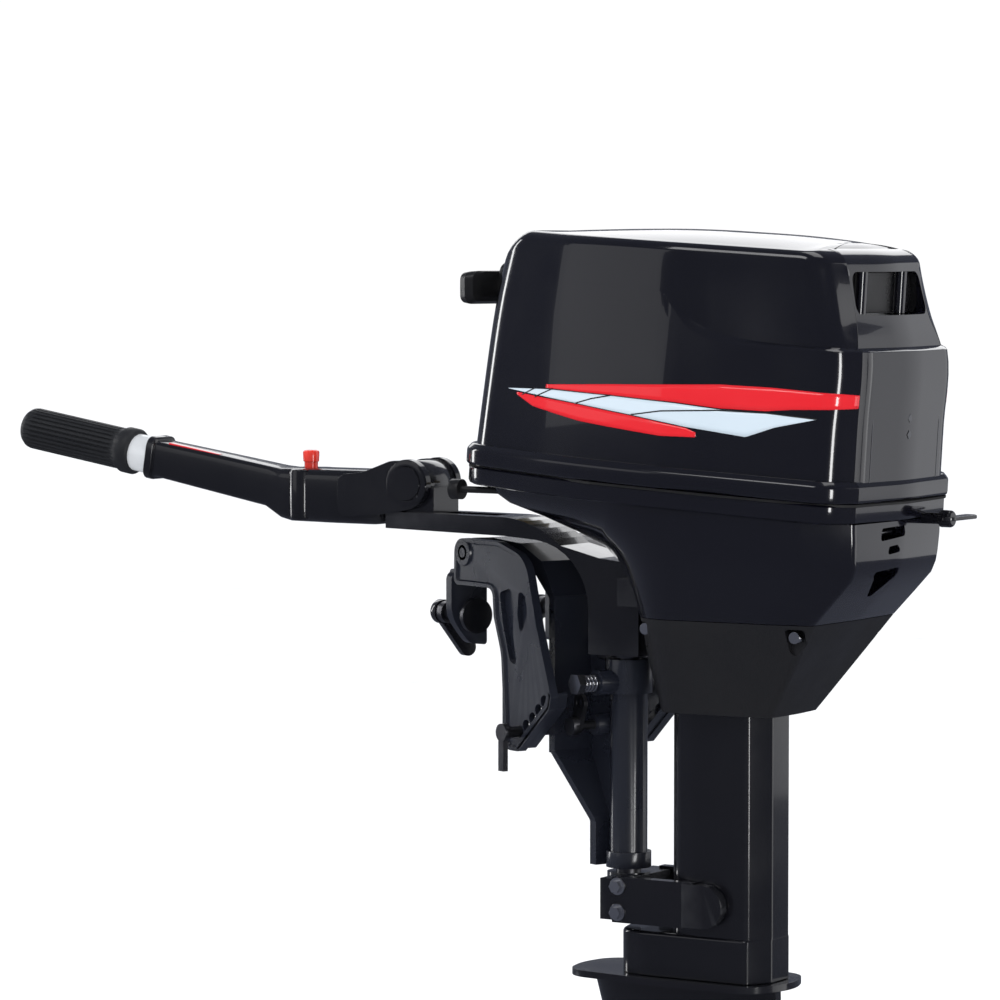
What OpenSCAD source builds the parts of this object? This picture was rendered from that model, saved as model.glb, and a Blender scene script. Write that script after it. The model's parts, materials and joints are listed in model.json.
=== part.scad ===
// Portable two-stroke outboard motor with a tiller, hung on a transom by two clamp screws.
// Frame: origin on the transom seat, at the transom's aft face, on the clamp's centre plane.
// -X points ahead into the boat, +X aft, +Y to starboard, +Z up.

/* [Transom clamp] */
// Deepest slot between the clamp hooks and the contact faces
slot_depth = 66; // [60:1:70]
// Distance between the outer faces of the two clamp plates
clamp_width = 148; // [140:2:160]
// Thickness of each clamp plate
plate_t = 9; // [7:1:10]
// Distance from the contact face to the steering axis
steer_x = 106; // [104:1:112]
// Angle that the motor is steered to at rest, tiller to port
steer_rest = 24; // [0:1:30]

/* [Leg] */
// Transom height, from the seat down to the anti-ventilation plate
transom_height = 435; // [425:5:450]
// Distance from the anti-ventilation plate down to the propeller axis
prop_drop = 125; // [122:1:132]
// Distance from the propeller axis down to the tip of the skeg
skeg_drop = 128; // [120:2:140]
// Propeller diameter
prop_d = 216; // [200:2:220]

/* [Engine] */
// Distance from the steering axis aft to the crankshaft and drive shaft
crank_x = 95; // [94:1:98]
// Flywheel diameter
flywheel_d = 120; // [110:2:124]
// Wall thickness of the cowls
cowl_wall = 3.5; // [3:0.5:4]

/* [Tiller] */
// Rise of the tiller above level
tiller_rise = 9.3; // [8:0.1:11]
// Diameter of the throttle grip
grip_d = 39; // [36:1:40]
// Length of the throttle grip
grip_len = 131; // [125:1:135]

/* [Hidden] */

$fn = 64;
eps = 0.01;
fit = 0.06;          // radial clearance of a running fit
seat_fit = 0.02;     // radial clearance of parts of one body
half_clamp = clamp_width / 2;

// Tilt axis, above the transom
tilt_x = -48;
tilt_z = 24;
tilt_r = 7;
// Tilt pin in the lowest of the five holes, which lie on an arc about the tilt axis
pin_r = 5;
pin_arc_r = 177;
pin_arc_start = 60;
pin_arc_step = 4.0;
pin_holes = 5;
function pin_at(i) = [tilt_x + pin_arc_r * cos(pin_arc_start - i * pin_arc_step),
                      tilt_z - pin_arc_r * sin(pin_arc_start - i * pin_arc_step)];
// Clamp screws
screw_r = 7;
screw_z = -34;
screw_y = 54;
hook_t = 9;

// Swivel tube and steering shaft
shaft_r = 11;
tube_r = 16.5;
tube_top = -63;
tube_bottom = -247;
front_plate_x = pin_at(0).x + pin_r + 0.3;

// Leg
av_z = -transom_height;
prop_z = av_z - prop_drop;
skeg_z = prop_z - skeg_drop;
splash_z = -336;
torpedo_r = 38;
gear_bore_r = 32.5;
torpedo_nose = -8;
torpedo_end = 186;
drive_r = 5.5;

// Cowls
parting_z = 100.5;
cowl_slope = 3.5;
cowl_h = 208;
cowl_crown = 11;
cowl_rear = 266;
cowl_front = -126;
lip_h = 19;
lip_out = 7;
handle_half = 64;  // half width of the carrying handle's hand hole
step_h = 128;     // height at which the rear starts to lean forward

// Powerhead
flywheel_z = 236;
recoil_z = 264;
recoil_r = 82;
rope_r = 1.8;
rope_z = 274;
rope_angle = 11;
rope_start = [-126, -6];
reel_r = 45;

// Tiller
bend_x = -370;
bend_z = 78;
knuckle_x = -215;
knuckle_z = 86;
knuckle_r = 20;
fork_y = 21;
fork_t = 8;
grip_end = -167;
arm_h = 36;
arm_w = 34;

// Gears
pinion_teeth = 13;
gear_teeth = 27;
gear_module = 2.1;
pinion_pitch_r = pinion_teeth * gear_module / 2;
gear_pitch_r = gear_teeth * gear_module / 2;
tooth_groove = 0.028;    // half width of the groove between two teeth, per unit from the apex
piston_r = 27.44;
shift_rod_x = 64;

// Places of small parts
reverse_x = 86;
reverse_z = -122;
apron_screw_spots = [[53, 68], [205, 80]];
apron_screw_z = -30;
latch_y = 44;
latch_z = 67;
shift_x = -20;
shift_z = 66;
choke_y = -50;
choke_z = 84;
button_x = -338;

// ---- Frames ----
module steered() {
    translate([steer_x, 0, 0]) rotate([0, 0, steer_rest]) children();
}
module cowl_plane() {
    steered() translate([0, 0, parting_z]) rotate([0, cowl_slope, 0]) children();
}
module tiller_axis() {
    steered() translate([bend_x, 0, bend_z]) rotate([0, tiller_rise, 0]) children();
}
module both_sides() {
    children();
    mirror([0, 1, 0]) children();
}
module rod_y(r, y0, y1) {
    translate([0, y0, 0]) rotate([-90, 0, 0]) cylinder(r = r, h = y1 - y0);
}
module rod_x(r, x0, x1) {
    translate([x0, 0, 0]) rotate([0, 90, 0]) cylinder(r = r, h = x1 - x0);
}
module slab_y(points, y0, y1) {
    translate([0, y1, 0]) rotate([90, 0, 0]) linear_extrude(y1 - y0) polygon(points);
}
function arc(cx, cy, r, a0, a1, n = 8) =
    [for (i = [0:n]) [cx + r * cos(a0 + (a1 - a0) * i / n), cy + r * sin(a0 + (a1 - a0) * i / n)]];
function mirrored(half) =
    concat(half, [for (i = [len(half) - 2:-1:1]) [half[i].x, -half[i].y]]);
// Plan of a cowl section: xf and xr are its ends, wf, wm and wr its half widths, g a growth
function plan(xf, xr, wf, wm, wr, rf, rr, g = 0) = mirrored(concat(
    [[xr + 6 + g, 0]],
    arc(xr - rr, wr - rr, rr + g, 4, 86),
    [[xr * 0.68 + xf * 0.32, wm + g], [xr * 0.4 + xf * 0.6, wm - 1 + g]],
    arc(xf + rf, wf - rf, rf + g, 104, 176),
    [[xf - 4 - g, 0]]));

// ---- Transom clamp ----
function clamp_outline() = concat(
    arc(tilt_x, tilt_z, 14, 170, 80, 6),
    [[-18, 35], [14, 31]],
    arc(26, 3, 28, 80, 20, 4),
    [[70, -42], [92, -92], [88, -105], [38, -147]],
    arc(22, -140, 10, -60, -150, 3),
    [[0, -120], [0, 0], [-slot_depth, 0], [-slot_depth, -12], [-slot_depth - hook_t, -12],
     [-slot_depth - hook_t, 0]]);
module clamp_bracket() {
    hook_x = -slot_depth - hook_t;
    difference() {
        union() {
            slab_y(clamp_outline(), half_clamp - plate_t, half_clamp);
            // Hook plate that carries the clamp screw
            translate([hook_x, screw_y - 20, -40]) cube([hook_t, half_clamp - screw_y + 20, 42]);
            translate([hook_x, screw_y, -40]) rotate([0, 90, 0]) cylinder(r = 20, h = hook_t);
            translate([hook_x - 8, screw_y, screw_z]) rotate([0, 90, 0]) cylinder(r = 14, h = 8 + eps);
            // Bridge over the slot
            translate([hook_x, screw_y - 20, 0]) cube([slot_depth + hook_t, half_clamp - screw_y + 12, 9]);
            // Contact flange on the transom's aft face
            translate([0, half_clamp - 30, -136]) cube([7, 30 - eps, 145]);
            // Flange along the lower rear edge
            slab_y([[92, -92], [88, -105], [38, -147], [36, -142], [82, -103], [86, -90]],
                half_clamp - 20, half_clamp - 1);
            // Boss round the tilt bolt
            translate([tilt_x, 0, tilt_z]) rod_y(13, half_clamp - plate_t - 3, half_clamp);
        }
        translate([tilt_x, 0, tilt_z]) rod_y(tilt_r + seat_fit, 20, 100);
        translate([0, screw_y, screw_z]) rod_x(screw_r + fit, hook_x - 20, -slot_depth + 1);
        for (i = [0:pin_holes - 1])
            translate([pin_at(i).x, 0, pin_at(i).y]) rod_y(pin_r + (i == 0 ? fit : 0.5), 20, 100);
    }
}
module clamp_bracket_starboard() {
    color([0.13, 0.14, 0.18]) clamp_bracket();
}
module clamp_bracket_port() {
    color([0.13, 0.14, 0.18]) mirror([0, 1, 0]) clamp_bracket();
}
module tilt_bolt() {
    color([0.7, 0.7, 0.72]) translate([tilt_x, 0, tilt_z]) {
        difference() {
            rod_y(tilt_r, -half_clamp, half_clamp + 12);
            rod_y(tilt_r - 2.5, -half_clamp - 1, -half_clamp + 14);
        }
        translate([0, half_clamp, 0]) rotate([-90, 0, 0]) cylinder(r = 11.5, h = 8, $fn = 6);
    }
}
module bracket_tie() {
    color([0.1, 0.1, 0.12]) translate([26, 0, -100]) rod_y(6, -half_clamp + plate_t, half_clamp - plate_t);
}
module tilt_pin() {
    color([0.75, 0.75, 0.76]) translate([pin_at(0).x, 0, pin_at(0).y]) {
        rod_y(pin_r, -half_clamp - 12, half_clamp + 10);
        translate([0, -half_clamp - 12, 0]) rod_y(8, -6, 0);
        // Loop handle that hangs from the pin's head
        translate([-4, -half_clamp - 18, -34]) cube([8, 5, 30]);
    }
}
module clamp_screw() {
    hook_x = -slot_depth - hook_t;
    translate([0, screw_y, screw_z]) {
        rod_x(screw_r, hook_x - 24, -slot_depth + 8);
        rod_x(16, -slot_depth + 8, -slot_depth + 13);
        rod_x(10, hook_x - 32, hook_x - 23);
    }
}
module clamp_screw_starboard() {
    color([0.55, 0.55, 0.58]) clamp_screw();
}
module clamp_screw_port() {
    color([0.55, 0.55, 0.58]) mirror([0, 1, 0]) clamp_screw();
}
// Paddle that turns the screw: a flat bar with round ends across the screw's head
module clamp_handle(turn) {
    head_x = -slot_depth - hook_t - 32;
    translate([head_x - 7.3, screw_y, screw_z]) rotate([turn, 0, 0]) difference() {
        union() {
            translate([0, 0, -43]) rod_x(8, 0, 7);
            translate([0, -8, -43]) cube([7, 16, 43]);
            rod_x(11, 0, 7);
        }
        rod_x(2.5, -1, 8);
    }
}
module clamp_handle_starboard() {
    color([0.08, 0.08, 0.1]) clamp_handle(-38);
}
module clamp_handle_port() {
    color([0.08, 0.08, 0.1]) mirror([0, 1, 0]) clamp_handle(-38);
}

// ---- Swivel bracket ----
module swivel_bracket() {
    inner = half_clamp - plate_t - 3.5;
    plate_x = front_plate_x;
    color([0.1, 0.11, 0.14]) difference() {
        union() {
            translate([tilt_x, 0, tilt_z]) rod_y(13, -inner, inner);
            // Arch over the transom
            slab_y([[tilt_x, 11], [tilt_x, 37], [0, 34], [34, 20], [plate_x + 9, -12], [plate_x, -12],
                    [24, 8], [-6, 18]], -44, 44);
            // Front plate that the tilt pin bears on, and its narrow foot
            slab_y([[plate_x, -10], [plate_x + 9, -10], [plate_x + 9, -149], [plate_x, -149]], -44, 44);
            intersection() {
                slab_y([[plate_x, -146], [plate_x + 9, -146], [steer_x - 22, -205],
                        [steer_x - 22, tube_bottom], [steer_x - 31, tube_bottom],
                        [steer_x - 31, -207]], -44, 44);
                translate([0, 0, -147]) rotate([0, 90, 0]) linear_extrude(200)
                    polygon([[0, -44], [62, -20], [120, -20], [120, 20], [62, 20], [0, 44]]);
            }
            // Web to the swivel tube
            slab_y([[plate_x + 4, -30], [66, tube_top - 3], [steer_x, tube_top - 3], [steer_x, tube_bottom],
                    [steer_x - 26, tube_bottom], [steer_x - 26, -206], [plate_x + 4, -148]], -5, 5);
            translate([steer_x, 0, tube_bottom]) cylinder(r = tube_r, h = tube_top - tube_bottom);
            translate([steer_x, 0, tube_top - 30]) cylinder(r = 21, h = 30);
            translate([steer_x, 0, tube_bottom]) cylinder(r = 20, h = 14);
            translate([steer_x, 0, tube_top - 20]) rod_y(11, -36, 0);
            translate([reverse_x, 0, reverse_z]) rod_y(9, -24, 24);
        }
        translate([tilt_x, 0, tilt_z]) rod_y(tilt_r + fit, -90, 90);
        translate([steer_x, 0, tube_bottom - 1]) cylinder(r = shaft_r + fit, h = 200);
        translate([steer_x, 0, tube_top - 20]) rod_y(5 + seat_fit, -40, -14);
        translate([reverse_x, 0, reverse_z]) rod_y(4 + fit, -40, 40);
    }
}
module friction_bolt() {
    color([0.8, 0.8, 0.82]) translate([steer_x, 0, tube_top - 20]) {
        rod_y(5, -58, -14);
        translate([0, -52, 0]) rotate([90, 0, 0]) cylinder(r = 9.8, h = 7, $fn = 6);
        for (i = [0:3])
            translate([0, -39 - i * 3.6, 0]) rotate([90, 0, 0])
                rotate_extrude() translate([6.2, 0]) circle(r = 1.5);
        rod_y(8, -52, -51);
    }
}
module reverse_lock() {
    color([0.2, 0.2, 0.22]) translate([reverse_x, 0, reverse_z]) {
        rod_y(4, -40, 26);
        rod_y(8, -50, -44);
        difference() {
            slab_y(concat(arc(0, 0, 7, 196, 344), arc(6, 21, 8, -16, 196)), -44, -40);
            translate([6, 0, 21]) rod_y(4, -50, -36);
        }
        translate([-6, 26, -5]) cube([12, 5, 24]);
    }
}

// ---- Steering bracket and mounts ----
module steering_bracket() {
    color([0.07, 0.07, 0.09]) steered() difference() {
        union() {
            slab_y(concat([[-240, 60], [-240, 45], [-112, 42]], arc(-87, -20, 60, 84, 0),
                [[-27, -59], [24, -59], [24, 22], [-16, 26]], arc(-120, -41, 100, 50, 90)), -25, 25);
            // Barrel of the tiller pivot
            translate([knuckle_x, 0, knuckle_z]) rod_y(knuckle_r, -fork_y + 0.4, fork_y - 0.4);
            translate([knuckle_x - 6, -fork_y + 0.4, 58]) cube([30, 2 * fork_y - 0.8, 24]);
            translate([0, 0, -59]) cylinder(r = 25, h = 62);
            // Arms that carry the upper rubber mounts
            both_sides() translate([10, 24, -14]) cube([44, 14, 24]);
        }
        translate([0, 0, -70]) cylinder(r = shaft_r + seat_fit, h = 85);
        translate([knuckle_x, 0, knuckle_z]) rod_y(6 + fit, -40, 40);
        translate([-190, -12, 50]) cube([60, 24, 20]);
    }
}
module steering_shaft() {
    color([0.6, 0.6, 0.62]) steered() {
        translate([0, 0, -292]) cylinder(r = shaft_r, h = 307);
        translate([0, 0, -61.5]) cylinder(r = 17, h = 1.8);
    }
}
module lower_mount() {
    color([0.06, 0.06, 0.08]) steered() difference() {
        union() {
            translate([0, 0, -290]) cylinder(r = 19, h = 39);
            translate([-2, -46, -288]) cube([24, 92, 36]);
            both_sides() translate([10, 36.2, -290]) cube([80, 10, 40]);
            both_sides() translate([100, 0, -270]) rod_y(19, 36.2, 47);
            both_sides() translate([80, 36.2, -289]) cube([20, 10.8, 38]);
        }
        translate([0, 0, -300]) cylinder(r = shaft_r + seat_fit, h = 60);
        both_sides() translate([100, 0, -270]) rod_y(13 + seat_fit, 30, 43);
    }
}
module mount_rubbers() {
    color([0.03, 0.03, 0.03]) steered() both_sides() {
        translate([100, 0, -270]) rod_y(13, 35, 43);
        translate([54, 30, -16]) cube([8, 8, 28]);
    }
}
module mount_bolts() {
    color([0.8, 0.8, 0.82]) steered() both_sides()
        for (z = [-258, -281]) translate([16, 46.2, z]) {
            rotate([-90, 0, 0]) cylinder(r = 7.5, h = 1.6);
            translate([0, 1.5, 0]) rotate([-90, 0, 0]) cylinder(r = 5.6, h = 5, $fn = 6);
        }
}

// ---- Leg ----
function housing_plan(g) = mirrored([[152 - g, 0], [151 - g, 12 - g * 0.4], [139 - g * 0.6, 35 - g],
    [68 + g * 0.6, 35 - g], [51 + g, 18 - g * 0.6], [51 + g, 0]]);
module driveshaft_housing() {
    color([0.08, 0.08, 0.11]) steered() difference() {
        union() {
            translate([0, 0, -300]) linear_extrude(312) polygon(housing_plan(0));
            translate([0, 0, splash_z + eps]) linear_extrude(38 - eps)
                polygon(mirrored([[152, 0], [151, 14], [130, 38], [30, 38], [4, 16], [0, 0]]));
            translate([62, -46, 4]) cube([130, 92, 9]);
            both_sides() translate([62, 24, -16]) cube([20, 14, 28]);
        }
        translate([0, 0, splash_z - 1]) linear_extrude(360) polygon(housing_plan(5));
        translate([0, 0, splash_z - 1]) linear_extrude(33)
            polygon(mirrored([[146, 0], [145, 12], [127, 32], [34, 32], [12, 14], [10, 0]]));
    }
}
module gearcase() {
    color([0.07, 0.07, 0.1]) steered() difference() {
        union() {
            // Splash plate on top of the casting
            translate([0, 0, splash_z - 6]) linear_extrude(6) polygon(mirrored(concat(
                [[168, 0], [166, 16]], arc(130, 20, 30, 20, 90, 4),
                [[10, 50]], arc(-14, 12, 34, 110, 178, 5))));
            // Strut, from the splash plate down to the gear housing
            hull() {
                translate([0, 0, splash_z - 6]) linear_extrude(1) polygon(strut_plan(-32, 150, 30));
                translate([0, 0, av_z - 4]) linear_extrude(1) polygon(strut_plan(-4, 152, 24));
            }
            hull() {
                translate([0, 0, av_z - 4]) linear_extrude(1) polygon(strut_plan(-4, 152, 24));
                translate([0, 0, prop_z + 20]) linear_extrude(1) polygon(strut_plan(16, 150, 19));
            }
            // Anti-ventilation plate
            translate([0, 0, av_z - 6]) linear_extrude(6) polygon(mirrored(concat(
                [[262, 0]], arc(226, 40, 36, 10, 80, 5), [[150, 74], [60, 52], [-4, 24], [-14, 0]])));
            translate([0, 0, prop_z]) rotate([0, 90, 0]) rotate_extrude() polygon(concat([[0, torpedo_nose]],
                [for (i = [1:8]) [torpedo_r * sin(i * 11.25), 60 - (60 - torpedo_nose) * cos(i * 11.25)]],
                [[torpedo_r, 150], [torpedo_r - 3, torpedo_end], [0, torpedo_end]]));
            skeg();
        }
        translate([0, 0, prop_z]) rod_x(gear_bore_r, 36, torpedo_end + 1);
        translate([crank_x, 0, prop_z]) cylinder(r = 18, h = 50);
        translate([crank_x, 0, prop_z]) cylinder(r = drive_r + 2.5, h = 240);
        translate([shift_rod_x, 0, prop_z + 20]) cylinder(r = 4.5, h = 220);
        translate([126, 0, prop_z + 50]) cylinder(r = 11, h = 190);
        // Water inlet slots in both sides of the strut
        for (i = [0:3])
            translate([40 + i * 14, 0, av_z - 40 - i * 4]) rotate([0, 30, 0])
                cube([5, 60, 26], center = true);
    }
}
function strut_plan(xf, xr, w) = mirrored([[xr, 0], [xr, w * 0.45], [xr * 0.72 + xf * 0.28, w * 0.92],
    [xr * 0.45 + xf * 0.55, w], [xr * 0.2 + xf * 0.8, w * 0.8], [xr * 0.05 + xf * 0.95, w * 0.4], [xf, 0]]);
module skeg() {
    slab_y([[30, prop_z - 20], [60, prop_z - 60], [92, skeg_z + 8], [104, skeg_z], [150, skeg_z],
            [166, prop_z - 60], [160, prop_z - 20]], -4, 4);
}
module bearing_carrier() {
    color([0.5, 0.5, 0.52]) steered() translate([0, 0, prop_z]) difference() {
        union() {
            rod_x(gear_bore_r - seat_fit, 150, torpedo_end + 4);
            rod_x(24, 130, 151);
        }
        rod_x(8 + fit, 120, 200);
    }
}
module anode() {
    color([0.62, 0.63, 0.62]) steered() translate([196, 0, av_z - 22]) cylinder(r = 17, h = 16);
}

// ---- Cowls ----
function cowl_plan(g) = plan(cowl_front, cowl_rear, 78, 118, 108, 27, 36, g);
module cowl_body(inset) {
    g = -inset;
    intersection() {
        linear_extrude(cowl_h + cowl_crown + 10) polygon(cowl_plan(g));
        slab_y(concat([[cowl_front - 4 - g, -1]], [[cowl_front + 8 - g, 90]],
            arc(-73 - g, cowl_h - 29 - inset, 30, 172, 92, 6), [[80, cowl_h + cowl_crown - inset]],
            [[190, cowl_h + cowl_crown - 1 - inset]], arc(208 + g, cowl_h - 26 - inset, 30, 80, 20, 6),
            [[cowl_rear - 11 + g, step_h + 26], [cowl_rear - 1 + g, step_h], [cowl_rear + 6 + g, step_h - 2],
            [cowl_rear + 6 + g, -1]]), -130, 130);
        rotate([90, 0, 90]) translate([0, 0, -200]) linear_extrude(600) both_sides_x() polygon(concat(
            [[0, -1], [124 + g, -1]], arc(97 + g, cowl_h - 12 - inset, 11, 5, 80, 6),
            [[40, cowl_h + cowl_crown - 3 - inset], [0, cowl_h + cowl_crown - inset]]));
    }
}
module both_sides_x() {
    children();
    mirror([1, 0]) children();
}
module cowl_shell() {
    difference() {
        union() {
            difference() {
                cowl_body(0);
                cowl_body(cowl_wall);
            }
            linear_extrude(lip_h) difference() {
                polygon(cowl_plan(lip_out));
                polygon(cowl_plan(-cowl_wall));
            }
            // Inner wall of the carrying handle
            intersection() {
                cowl_body(0);
                translate([222, -handle_half - 6, 148]) cube([60, 2 * handle_half + 12, 52]);
            }
        }
        // Hand hole of the carrying handle, under the rear edge of the crown
        translate([228, -handle_half, 156]) cube([60, 2 * handle_half, 36]);
        translate([0, 0, -2]) linear_extrude(2) square(800, center = true);
    }
}
module top_cowl() {
    color([0.09, 0.09, 0.12]) difference() {
        union() {
            cowl_plane() cowl_shell();
            // Guide of the starter rope
            rope_line() rod_x(11, 3, 60);
        }
        rope_line() rod_x(4, 0, 62);
    }
}
module rope_line() {
    steered() translate([rope_start.x, rope_start.y, rope_z]) rotate([0, 0, -rope_angle]) children();
}
module cowl_seal() {
    color([0.02, 0.02, 0.02]) cowl_plane() translate([0, 0, -2]) linear_extrude(2) difference() {
        polygon(cowl_plan(3));
        polygon(cowl_plan(-3));
    }
}
// Outlines of the tray: under the rim, at the knuckle line and at the seam
module tray_upper(g) {
    hull() {
        cowl_plane() translate([0, 0, -16]) linear_extrude(1)
            polygon(cowl_plan(g));
        steered() translate([0, 0, 62]) linear_extrude(1) polygon(plan(-110, 264, 72, 116, 106, 24, 36, g));
        steered() translate([0, 0, 33]) linear_extrude(1) polygon(plan(-8, 262, 62, 113, 104, 20, 36, g));
    }
}
module tray_lower(g) {
    hull() {
        steered() translate([0, 0, 33]) linear_extrude(1) polygon(plan(-8, 262, 62, 113, 104, 20, 36, g));
        steered() translate([0, 0, -19]) linear_extrude(1) polygon(plan(12, 220, 46, 90, 80, 18, 26, g));
    }
}
module bottom_cowl() {
    color([0.09, 0.09, 0.12]) difference() {
        union() {
            cowl_plane() translate([0, 0, -17]) linear_extrude(15)
                polygon(cowl_plan(4));
            tray_upper(0);
            tray_lower(0);
        }
        cowl_plane() translate([0, 0, -18]) linear_extrude(20)
            polygon(cowl_plan(-cowl_wall));
        tray_upper(-cowl_wall);
        translate([0, 0, -1]) tray_lower(-cowl_wall);
        // Opening for the steering bracket
        steered() translate([-60, -40, -30]) cube([94, 80, 66]);
        // Holes for the shift lever's shaft, the choke rod, the fuel connector and the latch
        steered() translate([0, latch_y, latch_z]) rod_x(5.5, 230, 300);
        steered() translate([shift_x, 0, shift_z]) rod_y(7, 80, 130);
        steered() translate([0, choke_y, choke_z]) rod_x(4, -150, -90);
        steered() translate([0, -choke_y, choke_z]) rod_x(9, -150, -90);
    }
}
module apron() {
    color([0.08, 0.08, 0.09]) steered() difference() {
        hull() {
            translate([0, 0, -20]) linear_extrude(1) polygon(plan(12, 220, 46, 90, 80, 18, 26));
            translate([0, 0, -104]) linear_extrude(1) polygon(plan(48, 162, 38, 52, 44, 14, 16));
        }
        hull() {
            translate([0, 0, -18.9]) linear_extrude(1) polygon(plan(12, 220, 46, 90, 80, 18, 26, -cowl_wall));
            translate([0, 0, -105]) linear_extrude(1) polygon(plan(48, 162, 38, 52, 44, 14, 16, -cowl_wall));
        }
        translate([-60, -40, -62]) cube([94, 80, 66]);
        both_sides() for (p = apron_screw_spots)
            translate([p.x, p.y, apron_screw_z]) rod_y(5 + seat_fit, -30, 20);
    }
}
module apron_screws() {
    color([0.7, 0.7, 0.72]) steered() both_sides() for (p = apron_screw_spots)
        translate([p.x, p.y, apron_screw_z]) rod_y(5, -18, -4);
}
module cowl_latch() {
    color([0.06, 0.06, 0.07]) steered() translate([0, latch_y, latch_z]) {
        rod_x(5, 244, 298);
        rod_x(9, 280, 298);
        translate([281, 0, -3]) cube([17, 46, 6]);
        // Hook that pulls the cowl down, inside the tray
        translate([246, -5, 0]) cube([5, 10, 14]);
    }
}

// ---- Powerhead ----
module crankcase() {
    color([0.35, 0.36, 0.38]) steered() difference() {
        union() {
            translate([46, -46, 24]) cube([100, 92, 204]);
            translate([146, -42, 78]) cube([66, 84, 148]);
            translate([62, -44, 13.01]) cube([126, 88, 12]);
            translate([crank_x, 0, 226]) cylinder(r = 30, h = 8);
            for (a = [60, 180, 300])
                translate([crank_x + 70 * cos(a), 70 * sin(a), 196]) cylinder(r = 6, h = 67.9);
            for (a = [60, 300]) translate([crank_x + 34 * cos(a), 40 * sin(a) - 6, 196])
                rotate([0, 0, a == 60 ? 42 : -42]) cube([44, 12, 10]);
            translate([20, -6, 196]) cube([30, 12, 10]);
        }
        translate([crank_x, 0, 12]) cylinder(r = 12 + fit, h = 230);
        for (z = [92, 172]) {
            translate([crank_x, 0, z - 22]) cylinder(r = 38, h = 44);
            translate([crank_x, 0, z]) rod_x(27.5, 0, 130);
        }
    }
}
module cylinder_head() {
    color([0.3, 0.31, 0.33]) steered() {
        difference() {
            translate([212, -42, 78]) cube([22, 84, 148]);
            for (z = [112, 192]) translate([0, 0, z]) rod_x(7, 220, 236);
        }
        both_sides() for (i = [0:6]) translate([214, 42, 84 + i * 22]) cube([18, 6, 4]);
    }
}
module spark_plugs() {
    color([0.85, 0.85, 0.85]) steered() for (z = [112, 192]) translate([0, 0, z]) {
        rod_x(6.9, 221, 238);
        translate([238, 0, 0]) rotate([0, 90, 0]) cylinder(r = 9, h = 6, $fn = 6);
    }
}
module carburettor() {
    color([0.5, 0.5, 0.5]) steered() difference() {
        union() {
            translate([0, 0, 120]) rod_x(22, -6, 46);
            translate([-2, -20, 78]) cube([30, 40, 40]);
            translate([-40, -34, 98]) cube([34, 68, 50]);
        }
        translate([0, 0, 120]) rod_x(13, -42, 40);
    }
}
module ignition_box() {
    color([0.1, 0.1, 0.1]) steered() translate([70, 46, 100]) cube([56, 24, 70]);
}
module recoil_case() {
    color([0.12, 0.12, 0.13]) steered() difference() {
        translate([crank_x, 0, recoil_z]) cylinder(r = recoil_r, h = 24);
        translate([crank_x, 0, recoil_z - 1]) cylinder(r = recoil_r - 4, h = 22);
        translate([rope_start.x, rope_start.y, rope_z]) rotate([0, 0, -rope_angle]) rod_x(6, 0, 160);
        translate([crank_x, 0, recoil_z]) cylinder(r = 6 + fit, h = 40);
    }
}
module exhaust_tube() {
    color([0.4, 0.38, 0.36]) steered() translate([126, 0, -298]) difference() {
        cylinder(r = 12, h = 298);
        translate([0, 0, -1]) cylinder(r = 10, h = 300);
    }
}
module water_tube() {
    color([0.7, 0.6, 0.35]) steered() translate([72, 14, -309]) cylinder(r = 3.5, h = 309);
}
module pump_housing() {
    color([0.45, 0.45, 0.45]) steered() translate([crank_x, 0, splash_z + 0.01]) difference() {
        cylinder(r = 27, h = 26);
        translate([0, 0, 4]) cylinder(r = 21, h = 18);
        translate([0, 0, -1]) cylinder(r = drive_r + 0.3, h = 30);
    }
}
module fuel_connector() {
    color([0.75, 0.65, 0.3]) steered() translate([0, -choke_y, choke_z]) {
        rod_x(8.9, -138, -104);
        rod_x(5, -154, -138);
    }
}

// ---- Rotating parts ----
module crankshaft() {
    color([0.6, 0.6, 0.62]) steered() translate([crank_x, 0, 0]) {
        translate([0, 0, 16]) cylinder(r = 12, h = 216);
        translate([0, 0, 232]) cylinder(r = 9, h = 26);
        for (z = [92, 172]) for (dz = [-20, 12]) translate([0, 0, z + dz]) cylinder(r = 34, h = 8);
    }
}
module flywheel() {
    color([0.55, 0.55, 0.56]) steered() translate([crank_x, 0, flywheel_z]) difference() {
        union() {
            cylinder(r = flywheel_d / 2, h = 20);
            cylinder(r = 20, h = 24);
        }
        translate([0, 0, -1]) cylinder(r = 9 + seat_fit, h = 30);
        translate([0, 0, -1]) difference() {
            cylinder(r = 52, h = 15);
            translate([0, 0, -1]) cylinder(r = 22, h = 17);
        }
    }
}
module drive_shaft() {
    bottom = prop_z + gear_pitch_r - 8;
    color([0.7, 0.7, 0.72]) steered() translate([crank_x, 0, bottom]) cylinder(r = drive_r, h = 16 - bottom);
}
module pump_impeller() {
    color([0.1, 0.1, 0.1]) steered() translate([crank_x, 0, splash_z + 5]) difference() {
        union() {
            cylinder(r = 12, h = 16);
            for (i = [0:5]) rotate([0, 0, i * 60]) translate([8, -1.5, 0]) cube([12, 3, 16]);
        }
        translate([0, 0, -1]) cylinder(r = drive_r + seat_fit, h = 20);
    }
}
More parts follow.
